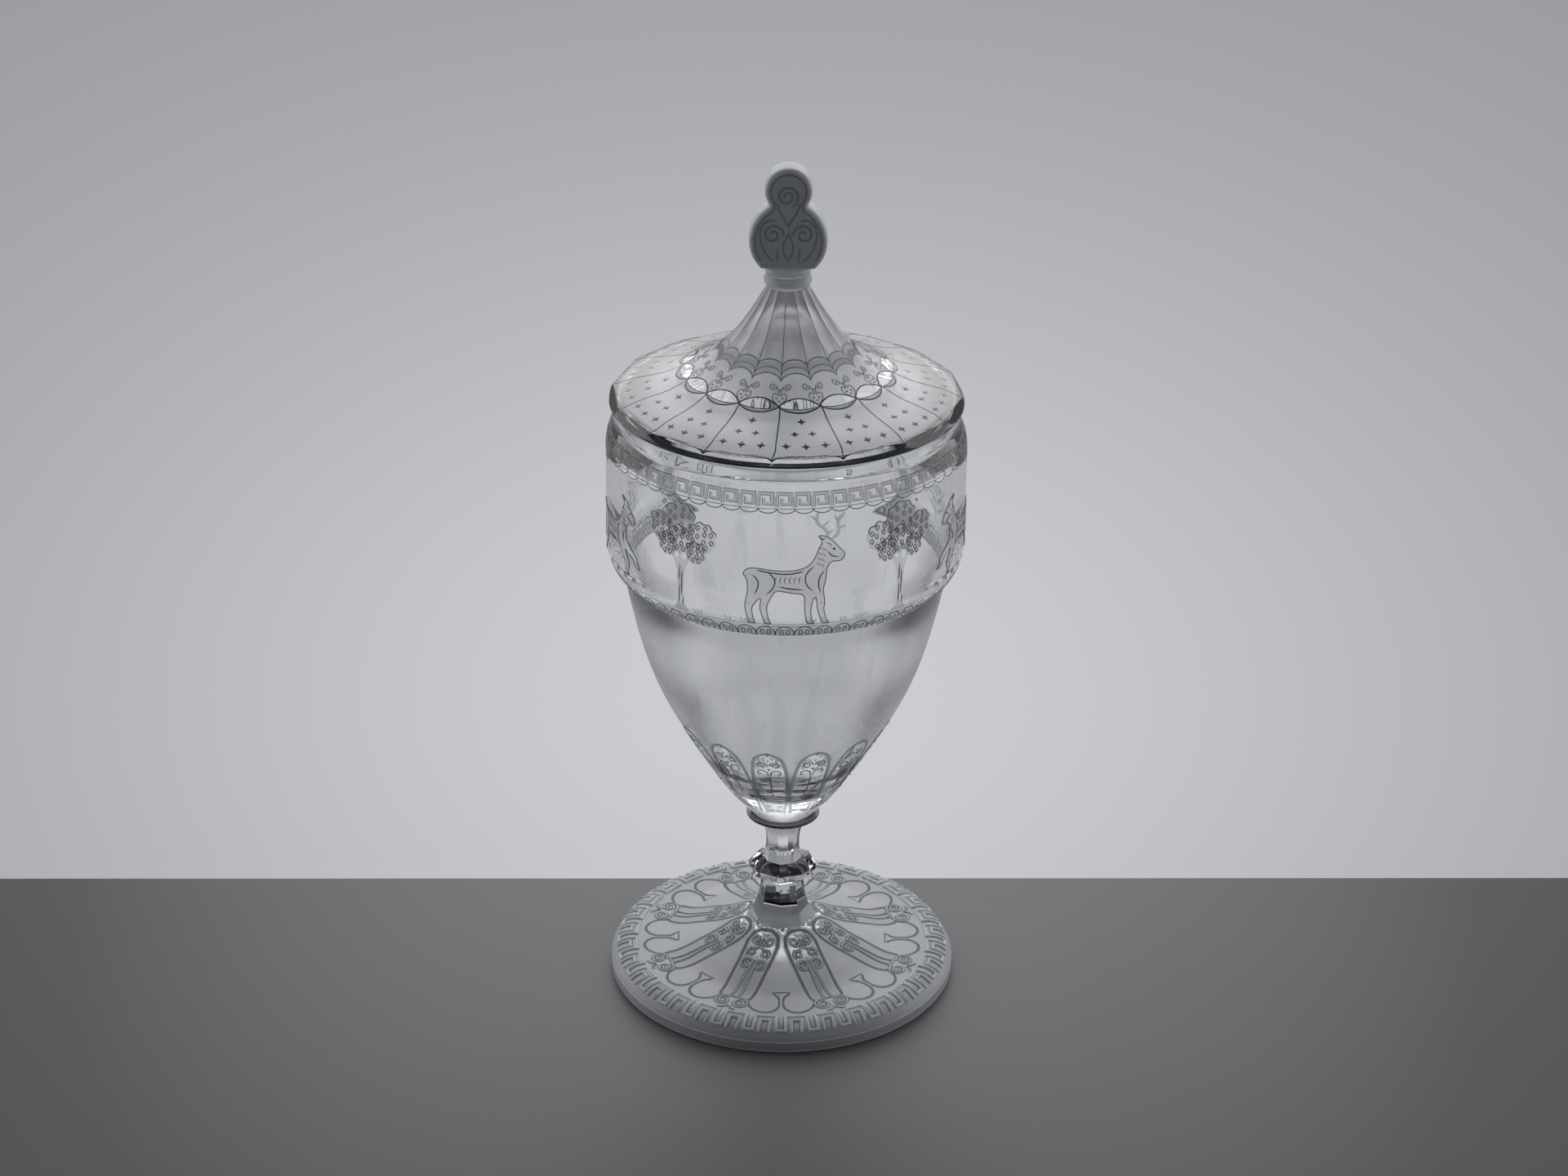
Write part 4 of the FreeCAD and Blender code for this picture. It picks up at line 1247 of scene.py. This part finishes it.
DOE = ((17.6, 25.2), (16.4, 23.6), (13.2, 24.0), (11.2, 21.4), (11.6, 17.4), (14.0, 14.9), (18.2, 12.4),
       (18.8, 9.6), (20.4, 8.4), (17.6, 8.6), (16.4, 11.2), (12.4, 12.4), (10.2, 13.2), (11.4, 11.4),
       (13.6, 8.0), (12.4, 5.2), (13.4, 3.8), (11.0, 4.4), (11.2, 7.6), (8.0, 11.0), (5.0, 13.2),
       (0.0, 13.0),
       (-5.0, 13.4), (-8.0, 10.8), (-10.6, 6.6), (-15.0, 2.6), (-16.2, 0.3), (-18.6, 0.0), (-17.2, 2.8),
       (-13.6, 6.8), (-12.8, 9.8), (-16.6, 8.0), (-20.4, 5.0), (-22.0, 3.2), (-24.0, 3.8), (-21.6, 6.8),
       (-17.0, 11.4), (-14.8, 14.8), (-14.2, 18.2), (-17.0, 21.6), (-13.6, 21.4), (-8.0, 21.0), (0.0, 19.9),
       (5.0, 21.2), (7.4, 24.2), (9.2, 28.2), (10.6, 30.2), (8.4, 33.2), (12.2, 31.6), (14.0, 29.8),
       (16.6, 27.2))
TRUNK = ((-3.4, 0.0), (-1.6, 2.2), (-1.2, 9.0), (-1.4, 16.0), (-4.4, 22.0), (-3.2, 22.6), (-0.8, 18.6),
         (-0.5, 26.0), (0.7, 26.0), (0.9, 18.0), (3.8, 22.4), (4.8, 21.6), (1.5, 15.0), (1.4, 8.0),
         (1.9, 2.0),
         (3.8, 0.0))
CROWNS = ((0.0, 26.6, 5.4), (0.0, 34.0, 6.6), (-8.2, 29.4, 5.6), (8.6, 29.0, 5.7), (-5.4, 23.6, 4.4),
          (6.2, 22.8, 4.3))


def leaf(x, y, length, width, turn):
    """A pointed leaf, from its stalk at (x, y), turned by degrees from upright."""
    shares = np.linspace(0.0, 1.0, 7)
    half = 0.5 * width * np.sin(np.pi * shares ** 0.8)
    loop = np.concatenate([np.stack([half, shares * length], 1),
                           np.stack([-half, shares * length], 1)[-2:0:-1]])
    cos, sin = math.cos(math.radians(turn)), math.sin(math.radians(turn))
    return np.stack([x + cos * loop[:, 0] + sin * loop[:, 1], y - sin * loop[:, 0] + cos * loop[:, 1]], 1)


STAG_LINES = (((7.8, 21.8), (5.0, 18.6), (5.2, 15.0), (7.6, 12.4)),
              ((11.4, 20.2), (9.6, 17.4), (9.4, 14.0), (10.2, 11.4)),
              ((-8.2, 19.6), (-5.6, 17.0), (-6.2, 13.6), (-8.6, 11.2)),
              ((-13.4, 18.6), (-11.2, 16.2), (-12.4, 10.8)),
              ((4.4, 13.2), (0.0, 13.6), (-4.4, 14.4)),
              ((-12.0, 20.2), (-6.0, 19.3), (0.0, 19.1), (4.6, 20.2)),
              ((9.6, 8.4), (10.9, 8.0)), ((5.4, 8.0), (6.8, 7.8)), ((-9.8, 7.6), (-8.4, 7.2)),
              ((-15.2, 8.0), (-13.8, 7.4)))
DOE_LINES = (((7.0, 22.0), (4.8, 18.8), (5.2, 15.6), (7.8, 12.6)), ((10.8, 20.4), (9.2, 17.8), (9.8, 14.6)),
             ((-8.0, 20.2), (-5.8, 17.4), (-7.0, 13.6), (-9.8, 10.4)),
             ((-13.0, 19.0), (-11.2, 16.6), (-13.4, 11.6)),
             ((4.2, 14.0), (0.0, 13.9), (-4.4, 14.4)),
             ((-12.0, 20.4), (-7.0, 20.0), (0.0, 19.0), (4.4, 20.2)))


def deer_drawing(body, lines, loop, antlers, inner):
    body.shape([softened(loop)], 0.45, 1.6)
    lines.line(softened(loop), 0.32, 0.3, closed=True)
    for path in antlers:
        body.line(smooth_through(path, 0.7), 1.3 if len(path) > 2 else 1.0, 0.3, tip=1.6)
    lines.dot((14.4, 27.6), 0.5, 0.55)
    for path in inner + (((12.2, 27.4), (13.4, 25.4), (16.4, 24.5)),
                         ((9.4, 32.4), (10.6, 31.4), (11.6, 31.9)),
                         ((17.8, 25.2), (16.4, 25.3)), ((11.2, 30.2), (12.8, 29.6), (13.6, 28.2))):
        lines.line(smooth_through(path, 0.7) if len(path) > 2 else path, 0.45, 0.55, tip=1.6)
    for i in range(4):
        for j in range(3):
            x, y = 8.6 + 0.9 * j + 0.25 * i, 22.0 + 1.9 * i - 0.4 * j
            lines.line([(x, y + 1.2), (x + 0.5, y)], 0.34, 0.55, tip=0.6)
    for i in range(6):
        x = -4.6 + 1.6 * i
        lines.line(smooth_through([(x, 18.2), (x - 0.8, 16.8), (x - 0.4, 15.2)], 0.6), 0.32, 0.55, tip=1.0)


def tree_drawing(body, lines):
    body.shape([softened(TRUNK, 1)], 0.4, 1.0)
    for x, y, radius in CROWNS:
        turns = np.linspace(0.0, 2.0 * math.pi, 61)[:-1]
        reach_out = radius * (0.86 + 0.14 * np.abs(np.sin(4.5 * turns)))
        edge = np.stack([x + reach_out * np.cos(turns), y + reach_out * np.sin(turns)], 1)
        body.shape([edge], 0.45, 1.8)
        lines.line(edge[2:29], 0.4, 0.5, tip=1.5)
        for ring, count in ((0.30, 3), (0.66, 8)):
            for i in range(count):
                a = 2.0 * math.pi * i / count + 3.0 * ring
                px, py = x + ring * radius * math.cos(a), y + ring * radius * math.sin(a)
                for side in (-1.0, 1.0):
                    vein = smooth_through([(px, py + 1.0), (px + side * 0.65, py + 0.2), (px, py - 0.9)],
                                          0.5)
                    lines.line(vein, 0.3, 0.55)
    for x, low, high in ((-0.5, 2.4, 10.5), (0.5, 5.5, 15.5), (-0.4, 11.0, 17.5), (1.0, 2.0, 6.0)):
        lines.line([(x, low), (x + 0.3, high)], 0.38, 0.55, tip=1.5)


def sprig_drawing(body, lines):
    stem = smooth_through([(-2.0, 0.0), (0.6, 8.0), (-0.8, 17.0), (1.2, 26.0), (0.4, 34.5)], 0.8)
    body.line(stem, 0.9, 0.25, tip=2.0)
    for i, rise in enumerate(np.linspace(5.0, 31.0, 8)):
        x = float(np.interp(rise, stem[:, 1], stem[:, 0]))
        size = 8.6 - 0.55 * i
        for side in (-1.0, 1.0):
            turn = side * (62.0 - 2.5 * i)
            body.shape([leaf(x, rise, size, 2.7, turn)], 0.35, 0.9)
            dx, dy = math.sin(math.radians(turn)), math.cos(math.radians(turn))
            lines.line([(x + 0.8 * dx, rise + 0.8 * dy), (x + 0.85 * size * dx, rise + 0.85 * size * dy)],
                       0.28, tip=1.0)
    body.shape([leaf(stem[-1][0], 33.8, 6.4, 2.6, 4.0)], 0.35, 0.9)


def ground_drawing(body, lines, half):
    body.line([(-half, 0.0), (half, 0.0)], 0.7, 0.2)
    for x, turn in ((-0.82 * half, -18.0), (-0.78 * half, 6.0), (-0.74 * half, 26.0), (0.3 * half, -22.0),
                    (0.34 * half, 2.0), (0.38 * half, 20.0), (0.88 * half, -8.0), (0.92 * half, 16.0)):
        body.shape([leaf(x, 0.0, 3.4, 1.0, turn)], 0.25, 0.4)
    lines.line(smooth_through([(-0.5 * half, -1.2), (0.0, -1.5), (0.5 * half, -1.1)], 0.9), 0.3, tip=2.0)


def bird_drawing(body):
    body.shape([leaf(-2.4, -0.6, 5.2, 1.7, 78.0)], 0.3, 0.6)
    for path in (((0.0, 0.4), (-1.6, 2.8), (-4.2, 3.4)), ((0.4, 0.4), (1.4, 3.0), (3.9, 3.9))):
        body.line(smooth_through(path, 0.6), 1.1, 0.25, tip=2.0)


FRIEZE = (("stag", 1), ("tree", 1), ("doe", -1), ("sprig", 1), ("doe", 1), ("tree", -1), ("stag", -1),
          ("sprig", -1), ("doe", 1), ("tree", 1))


FRIEZE_RISE = 128.6
BIRD_RISE = 46.0


def bowl_frieze(size):
    outline = bowl_outline()
    along = outline.at_height(bottom("bowl") + FRIEZE_RISE)
    half = math.pi * reach("bowl") / len(FRIEZE)
    scale = size.frieze_scale
    motifs = {}
    for name, maker in (("stag", lambda b, l: deer_drawing(b, l, STAG, ANTLERS, STAG_LINES)),
                        ("doe", lambda b, l: deer_drawing(b, l, DOE, (), DOE_LINES)),
                        ("tree", tree_drawing), ("sprig", sprig_drawing)):
        body, lines = Drawing(0.9), Drawing(0.9)
        maker(body, lines)
        motifs[name] = (body, lines)
    ground, ground_lines, bird = Drawing(), Drawing(), Drawing()
    ground_drawing(ground, ground_lines, half)
    bird_drawing(bird)
    draft = Draft()
    for i, (name, facing) in enumerate(FRIEZE):
        angle = 2.0 * math.pi * (i + 0.05) / len(FRIEZE)
        body, lines = motifs[name]
        sides = (scale * facing, scale)
        draft.stamp(body, outline, angle, along + 0.2, 1, sides)
        draft.stamp(lines, outline, angle, along + 0.2, 2 if name == "tree" else 0, sides)
        draft.stamp(ground, outline, angle, along, 1)
        draft.stamp(ground_lines, outline, angle, along, 0)
        if name in ("doe", "sprig"):
            draft.stamp(bird, outline, angle - 0.14 * facing, along + BIRD_RISE, 1, (facing, 1.0))
    painted = ("satin_bands", "satin_figures", "satin_grooves")
    draft.build("bowl_frieze", GOBLET, painted)


# Engraving of the lid. Here a drawn height is a distance from the axis.
LENS_TIP = 43.8
STARS = ((0.0, 51.3), (-3.5, 59.1), (3.5, 59.1), (0.0, 67.0), (-6.9, 66.6), (6.9, 66.6))


def bulge(tip, middle, roundness=1.0):
    """An arc across one sector of the lid, from tip to tip by way of its middle."""
    share = np.sin(np.linspace(-0.5 * math.pi, 0.5 * math.pi, 19))
    r = tip + (middle - tip) * (1.0 - share ** 2) ** roundness
    return np.stack([share * math.pi / LID_SECTORS * r, r], 1)


def rim_lens():
    """The upper edge of the flat ground on the lid's rounding, as (sideways, radius) points."""
    centre = reach("lid_cover") - LID_ROUNDING
    half = math.pi / LID_SECTORS
    tilt = RIM_FACET_TILT
    tip_level = math.cos(half) * math.cos(tilt)
    tip_gap = centre * tip_level + LID_ROUNDING * math.hypot(tip_level, math.sin(tilt))
    points = []
    for off in np.linspace(-half, half, 25):
        facing = math.cos(off) * math.cos(tilt)
        gap = (tip_gap - centre * facing) / (LID_ROUNDING * math.hypot(facing, math.sin(tilt)))
        turn = math.atan2(math.sin(tilt), facing) + math.acos(min(1.0, gap))
        r = centre + LID_ROUNDING * math.cos(turn)
        points.append((off * r, r))
    return points


def sector_drawing(dark, pale):
    """What stands in one of the lid's sectors: rim lens, stars, lens of the ring, petal and bands."""
    dark.line(rim_lens(), 0.6)
    for x_turn, r in STARS:
        x = math.radians(x_turn) * r
        dark.line([(x - 2.0, r), (x + 2.0, r)], 2.0, 0.1, tip=2.0)
        dark.line([(x, r - 1.9), (x, r + 1.9)], 1.9, 0.1, tip=1.9)
    dark.line(bulge(LENS_TIP, 39.4, 0.8), 0.6)
    dark.line(bulge(LENS_TIP, 45.0), 0.45)
    dark.line(bulge(LENS_TIP, 46.7), 0.75)
    pale.line(bulge(LENS_TIP, 45.9)[2:-2], 0.5, 0.12)


def scallop_drawing(soft, light):
    """The bands of scallops round the foot of the spire, the outer one hatched."""
    spread = math.pi / LID_SECTORS
    for tip, middle, width in ((31.8, 28.8, 0.5), (29.3, 26.8, 0.4), (26.6, 24.6, 0.45)):
        soft.line(bulge(tip, middle, 0.55), width)
    light.line(bulge(28.0, 25.8, 0.55), 1.2, 0.08)
    for share in np.linspace(-0.92, 0.92, 15):
        rounded = (1.0 - share ** 2) ** 0.55
        outer = 31.6 - 3.0 * rounded
        inner = 29.5 - 2.5 * rounded
        soft.line([(share * spread * outer, outer), (share * spread * inner, inner)], 0.22)


def divide_drawing(dark, soft):
    """What stands on the line between two sectors: the line with its hook, and a small palmette."""
    hook = smooth_through([(0.9, 66.0), (0.9, 69.5), (0.55, 71.4), (0.0, 73.9)], 0.5)
    dark.line(joined([(0.7, 43.2), (0.9, 50.0)], evenly([(0.9, 50.0), (0.9, 66.0)], 2.0), hook), 0.6)
    for side in (-1.0, 1.0):
        heart = smooth_through([(side * 0.1, 43.0), (side * 1.9, 41.0), (side * 2.9, 38.8),
                                (side * 1.9, 37.0),
                                (side * 0.3, 38.2)], 0.4)
        soft.line(heart, 0.6)
        curl = smooth_through([(side * 0.2, 37.4), (side * 0.9, 35.4), (side * 1.4, 33.8)], 0.4)
        soft.line(joined(curl, spiral((side * 3.0, 34.0), 1.7, 0.4, 90.0 + side * 95.0, -side * 1.4)[1:]),
                  0.55)
        soft.dot((side * 1.2, 39.4), 0.55)
    for r in (35.4, 40.8):
        soft.dot((0.0, r), 0.55)
    soft.line([(0.0, 31.8), (0.0, 9.6)], 0.4, 0.1, tip=2.0)


def lid_engraving():
    plan = Plan(lid_outline())
    sector, sector_pale = Drawing(0.9), Drawing(0.9)
    sector_drawing(sector, sector_pale)
    divide, lyre = Drawing(0.9), Drawing(0.6)
    divide_drawing(divide, lyre)
    scallop, scallop_light = Drawing(0.9), Drawing(0.9)
    scallop_drawing(scallop, scallop_light)
    draft = Draft()
    for i in range(LID_SECTORS):
        angle = LID_TURN + 2.0 * math.pi * i / LID_SECTORS
        middle = angle + math.pi / LID_SECTORS
        draft.stamp(sector, plan, middle, 0.0, 0, FROM_AXIS)
        draft.stamp(sector_pale, plan, middle, 0.0, 1, FROM_AXIS)
        draft.stamp(scallop, plan, middle, 0.0, 2, FROM_AXIS)
        draft.stamp(scallop_light, plan, middle, 0.0, 3, FROM_AXIS)
        draft.stamp(divide, plan, angle, 0.0, 0, FROM_AXIS)
        draft.stamp(lyre, plan, angle, 0.0, 2, FROM_AXIS)
    painted = ("polished_cut", "matt_engraving", "satin_grooves", "satin_figures")
    draft.build("lid_engraving", LID, painted)


# Carving of the finial, on its front and its back
def finial_drawing(dark, pale):
    base = bottom("finial")
    side = evenly(finial_side(), 0.8)
    whole = joined(side, mirrored(side))
    dark.line(side_step(whole, -2.5)[5:-5], 0.8)
    dark.line(spiral((-0.6, base + 31.0), 4.8, 0.8, -60.0, 1.75), 1.1)
    drop = smooth_through([(4.6, base + 28.2), (3.9, base + 25.2), (1.9, base + 21.6), (0.0, base + 18.2)],
                          0.7)
    dark.line(joined(drop, mirrored(drop)), 1.0)
    shares = np.linspace(0.0, 1.0, 12)
    almond = [(2.1 * math.sin(math.pi * s ** 0.9), base + 3.4 + 11.6 * s) for s in shares]
    engrave(dark, pale, joined(almond, mirrored(almond))[:-1], 0.8, 0.25, closed=True)
    for sign in (-1.0, 1.0):
        volute = spiral((sign * 6.3, base + 14.6), 4.4, 0.8, 90.0 + sign * 95.0, -sign * 1.5)
        dark.line(volute, 1.1)
        pale.line(side_step(volute, sign * 0.9), 0.5)
        outer = smooth_through([(sign * 4.0, base + 20.0), (sign * 7.6, base + 20.8),
                                (sign * 11.2, base + 17.4),
                                (sign * 11.4, base + 12.0), (sign * 9.2, base + 6.4),
                                (sign * 5.6, base + 2.4)], 0.7)
        dark.line(outer, 0.9, tip=2.0)
        dark.line([(sign * 4.6, base + 9.4), (sign * 4.4, base + 2.2)], 0.8, tip=1.5)


def finial_carving():
    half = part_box("finial")[1].y / MM
    dark, pale = Drawing(0.7), Drawing(0.7)
    finial_drawing(dark, pale)
    draft = Draft()
    for facing in (1.0, -1.0):
        face = FlatFace(half, facing)
        draft.stamp(dark, face, 0.0, 0.0, 0)
        draft.stamp(pale, face, 0.0, 0.0, 1)
    draft.build("finial_carving", LID, ("satin_arches", "matt_engraving"))


# Sizes and colours that the panel shows
def length(name, description, default):
    return FloatProperty(name=name, description=description, default=default, unit="LENGTH",
                         subtype="DISTANCE")


def colour(name, description, default):
    return FloatVectorProperty(name=name, description=description, default=default, subtype="COLOR")


class GobletSize(bpy.types.PropertyGroup):
    columns: IntProperty(name="Columns", description="Number of strips round the turned glass", default=256,
                         min=64)
    frieze_scale: FloatProperty(name="Frieze scale", description="Scale of the deer, trees and sprigs",
                                default=1.22)
    facet_arch: length("Facet arches", "How far the polished facets reach onto the foot", 0.0042)
    satin_top: length("Satin height", "How far the satin reaches up the bowl", 0.1205)
    lens_depth: length("Rim lens depth", "Reach of each rim lens past the rounding", 0.0004)


class GobletFinish(bpy.types.PropertyGroup):
    ior: FloatProperty(name="Refraction", description="Index of refraction of the polished glass",
                       default=GLASS_IOR)
    clear_colour: colour("Clear glass", "Tint of the polished glass", (0.985, 0.99, 0.995))
    satin_colour: colour("Satin glass", "Colour of the lid's ground glass", (0.76, 0.77, 0.785))
    bowl_colour: colour("Bowl satin", "Colour of the satin bowl", (0.995, 0.998, 1.0))
    foot_colour: colour("Foot satin", "Colour of the ground glass of the foot", (0.72, 0.74, 0.765))
    panel_colour: colour("Panels", "Colour of the foot's long panels and of the finial", (0.66, 0.68, 0.70))
    arch_colour: colour("Arches", "Colour of the bands round the bowl's arches", (0.66, 0.675, 0.69))
    flute_colour: colour("Flutes", "Colour of the fluted spire", (0.78, 0.79, 0.80))
    matt_colour: colour("Matt engraving", "Colour of the pale engraving", (0.80, 0.82, 0.84))
    figure_colour: colour("Figures", "Colour of the figures of the frieze", (0.93, 0.94, 0.95))
    # Colour of the painted highlights: the bright lines of foot and collar, and the foot's glowing crescents
    bright_colour: colour("Bright edge", "Colour of the bright lines of foot and collar",
                          (0.75, 0.77, 0.80))
    groove_colour: colour("Grooves", "Colour of the fine grey lines", (0.50, 0.515, 0.53))
    band_colour: colour("Bands", "Colour of the dark satin lines", (0.30, 0.315, 0.33))
    # Colour of the polished cuts, and of the painted shade under the collar and round the lid's lower edge
    cut_and_shade_colour: colour("Polished cuts", "Colour of the polished cuts", (0.030, 0.034, 0.040))


class GobletStage(bpy.types.PropertyGroup):
    table_back: length("Table edge", "Distance from the axis to the table's far edge", 0.0717)
    table_turn: FloatProperty(name="Table turn",
                              description="How far the table's edge is turned from the X axis",
                              default=math.radians(1.08), unit="ROTATION", subtype="ANGLE")
    table_half: length("Table half width", "Half the width of the table top", 1.1)
    table_front: length("Table front", "Distance from the axis to the near edge", 1.1)
    table_colour: colour("Table", "Colour of the table top", (0.135, 0.140, 0.147))
    wall_colour: colour("Backdrop", "Colour of the light behind the glass", (0.60, 0.61, 0.64))
    edge_colour: colour("Backdrop edge", "Colour towards the backdrop's corners", (0.185, 0.19, 0.205))
    room_colour: colour("Room", "Colour of the room in front of the glass", (0.11, 0.115, 0.12))


class BuildFoot(bpy.types.Operator):
    """Builds the foot and its engraving"""
    bl_idname = "goblet.foot"
    bl_label = "Foot"
    bl_options = {"REGISTER", "UNDO"}

    def execute(self, context):
        size = context.scene.goblet_size
        foot_glass(size)
        foot_engraving()
        return {"FINISHED"}


class BuildStem(bpy.types.Operator):
    """Builds the faceted stem, the knop and the collar"""
    bl_idname = "goblet.stem"
    bl_label = "Stem"
    bl_options = {"REGISTER", "UNDO"}

    def execute(self, context):
        stem_glass()
        return {"FINISHED"}


class BuildBowl(bpy.types.Operator):
    """Builds the bowl, its borders and its frieze"""
    bl_idname = "goblet.bowl"
    bl_label = "Bowl"
    bl_options = {"REGISTER", "UNDO"}

    def execute(self, context):
        size = context.scene.goblet_size
        bowl_glass(size)
        bowl_borders()
        bowl_frieze(size)
        return {"FINISHED"}


class BuildLid(bpy.types.Operator):
    """Builds the lid with its locating ring, its fluted spire and its engraving"""
    bl_idname = "goblet.lid"
    bl_label = "Lid"
    bl_options = {"REGISTER", "UNDO"}

    def execute(self, context):
        size = context.scene.goblet_size
        lid_glass(size)
        neck_glass()
        lid_engraving()
        return {"FINISHED"}


class BuildFinial(bpy.types.Operator):
    """Builds the carved finial"""
    bl_idname = "goblet.finial"
    bl_label = "Finial"
    bl_options = {"REGISTER", "UNDO"}

    def execute(self, context):
        finial_glass()
        finial_carving()
        return {"FINISHED"}


# Each lamp: its place, what it aims at, its size and its power
LAMPS = {"lamp_behind": ((0.0, 1.1, 0.9), (0.0, 0.1, 0.0), 1.5, 13.0),
         "lamp_left": ((-1.2, 0.4, 0.4), (0.0, 0.0, 0.05), 1.2, 6.0),
         "lamp_right": ((1.2, 0.4, 0.4), (0.0, 0.0, 0.05), 1.2, 6.5),
         "lamp_front": ((0.4, -1.1, 1.3), (0.0, 0.0, 0.3), 1.0, 0.6)}
CAMERA_PLACE = (-0.00045, -1.25625, 0.78825)
CAMERA_TILT = math.radians(64.48)
CAMERA_ROLL = math.radians(0.53)
CAMERA_LENS = 90.0
CAMERA_SENSOR = 44.0


class BuildStage(bpy.types.Operator):
    """Sets up the table top, the light and the camera"""
    bl_idname = "goblet.stage"
    bl_label = "Stage"
    bl_options = {"REGISTER", "UNDO"}

    def execute(self, context):
        stage = context.scene.goblet_stage
        self.table(stage)
        self.light(stage)
        self.camera(context)
        context.scene.view_settings.view_transform = "Standard"
        return {"FINISHED"}

    def table(self, stage):
        half, back, front = stage.table_half, stage.table_back, stage.table_front
        mesh = bpy.data.meshes.new("table_top")
        mesh.from_pydata([(-half, -front, 0.0), (half, -front, 0.0), (half, back, 0.0), (-half, back, 0.0)],
                         [], [(0, 1, 2, 3)])
        material, recipe = new_material("table_top")
        cloud = recipe.noise(9.0, 3.0)
        grain = recipe.noise(900.0, 2.0)
        x, y, _ = recipe.place("Object")
        # Painted light: the table is brightest round a spot just behind its far edge and darkens towards the
        # sides and the front
        far = (x * x * 9.0 + (y - 0.1) * (y - 0.1) * 5.0 + cloud * 0.1 - 0.05).clamped()
        dark = tuple(0.3 * c for c in stage.table_colour)
        tone = recipe.blend(far, rgba(stage.table_colour), rgba(dark))
        recipe.principled({"Base Color": tone, "Roughness": 0.5, "Specular IOR Level": 0.5,
                           "Normal": recipe.bump(grain, 0.1, 0.0001)})
        mesh.materials.append(material)
        table = bpy.data.objects.new("table_top", mesh)
        table.rotation_euler.z = stage.table_turn
        bpy.context.scene.collection.objects.link(table)
        table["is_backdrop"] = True

    def light(self, stage):
        world = bpy.data.worlds.new("studio")
        bpy.context.scene.world = world
        world.use_nodes = True
        recipe = Recipe(world.node_tree)
        x, y, z = recipe.place("Generated")
        # The light falls off sideways and upwards from a spot low behind the glass
        up = recipe.maths("MAXIMUM", y * 0.431 + z * 0.902 + 0.033, -0.05)
        aside = recipe.maths("MINIMUM", x * x, 0.07)
        fall = aside * 11.7 + up * up * 27.0
        share = fall / (fall + 1.0)
        wall = recipe.blend(share, rgba(stage.wall_colour), rgba(stage.edge_colour))
        behind = (y * 3.0 + 0.3).clamped()
        sky = recipe.blend(behind, rgba(stage.room_colour), wall)
        shade = recipe.node("ShaderNodeBackground", None, {"Color": sky, "Strength": 1.0})
        recipe.finish(shade, "ShaderNodeOutputWorld")
        for name, (spot, aim, size, power) in LAMPS.items():
            lamp = bpy.data.lights.new(name, "AREA")
            lamp.shape = "SQUARE"
            lamp.size = size
            lamp.energy = power
            light = bpy.data.objects.new(name, lamp)
            light.location = spot
            light.rotation_euler = (Vector(aim) - Vector(spot)).to_track_quat("-Z", "Y").to_euler()
            bpy.context.scene.collection.objects.link(light)
            light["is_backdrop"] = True

    def camera(self, context):
        data = bpy.data.cameras.new("camera")
        data.lens = CAMERA_LENS
        data.sensor_width = CAMERA_SENSOR
        data.clip_start = 0.05
        data.clip_end = 20.0
        camera = bpy.data.objects.new("camera", data)
        turn = Matrix.Rotation(CAMERA_TILT, 4, "X") @ Matrix.Rotation(CAMERA_ROLL, 4, "Z")
        camera.matrix_world = Matrix.Translation(CAMERA_PLACE) @ turn
        context.scene.collection.objects.link(camera)
        context.scene.camera = camera
        camera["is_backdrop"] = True


class GobletPanel(bpy.types.Panel):
    bl_idname = "VIEW3D_PT_goblet"
    bl_label = "Goblet"
    bl_space_type = "VIEW_3D"
    bl_region_type = "UI"
    bl_category = "Goblet"

    def draw(self, context):
        for group in (context.scene.goblet_size, context.scene.goblet_finish, context.scene.goblet_stage):
            box = self.layout.box()
            for name in type(group).__annotations__:
                box.prop(group, name)
        for operator in OPERATORS:
            self.layout.operator(operator.bl_idname)


OPERATORS = (BuildFoot, BuildStem, BuildBowl, BuildLid, BuildFinial, BuildStage)
GROUPS = (("goblet_size", GobletSize), ("goblet_finish", GobletFinish), ("goblet_stage", GobletStage))


def register():
    for name, group in GROUPS:
        bpy.utils.register_class(group)
        setattr(bpy.types.Scene, name, PointerProperty(type=group))
    for operator in OPERATORS:
        bpy.utils.register_class(operator)
    bpy.utils.register_class(GobletPanel)


def unregister():
    bpy.utils.unregister_class(GobletPanel)
    for operator in reversed(OPERATORS):
        bpy.utils.unregister_class(operator)
    for name, group in reversed(GROUPS):
        delattr(bpy.types.Scene, name)
        bpy.utils.unregister_class(group)


def plain(bounds):
    """Bounds as lists and numbers that a text file can hold."""
    if isinstance(bounds, dict):
        return {key: plain(value) for key, value in bounds.items()}
    if isinstance(bounds, (list, tuple, Vector)):
        return [plain(value) for value in bounds]
    return bounds


def main():
    register()
    for operator in OPERATORS:
        group, name = operator.bl_idname.split(".")
        getattr(getattr(bpy.ops, group), name)()
    {"loaded": plain(CAD_BOUNDS), "finished": plain(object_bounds())}


if __name__ == "__main__":
    main()
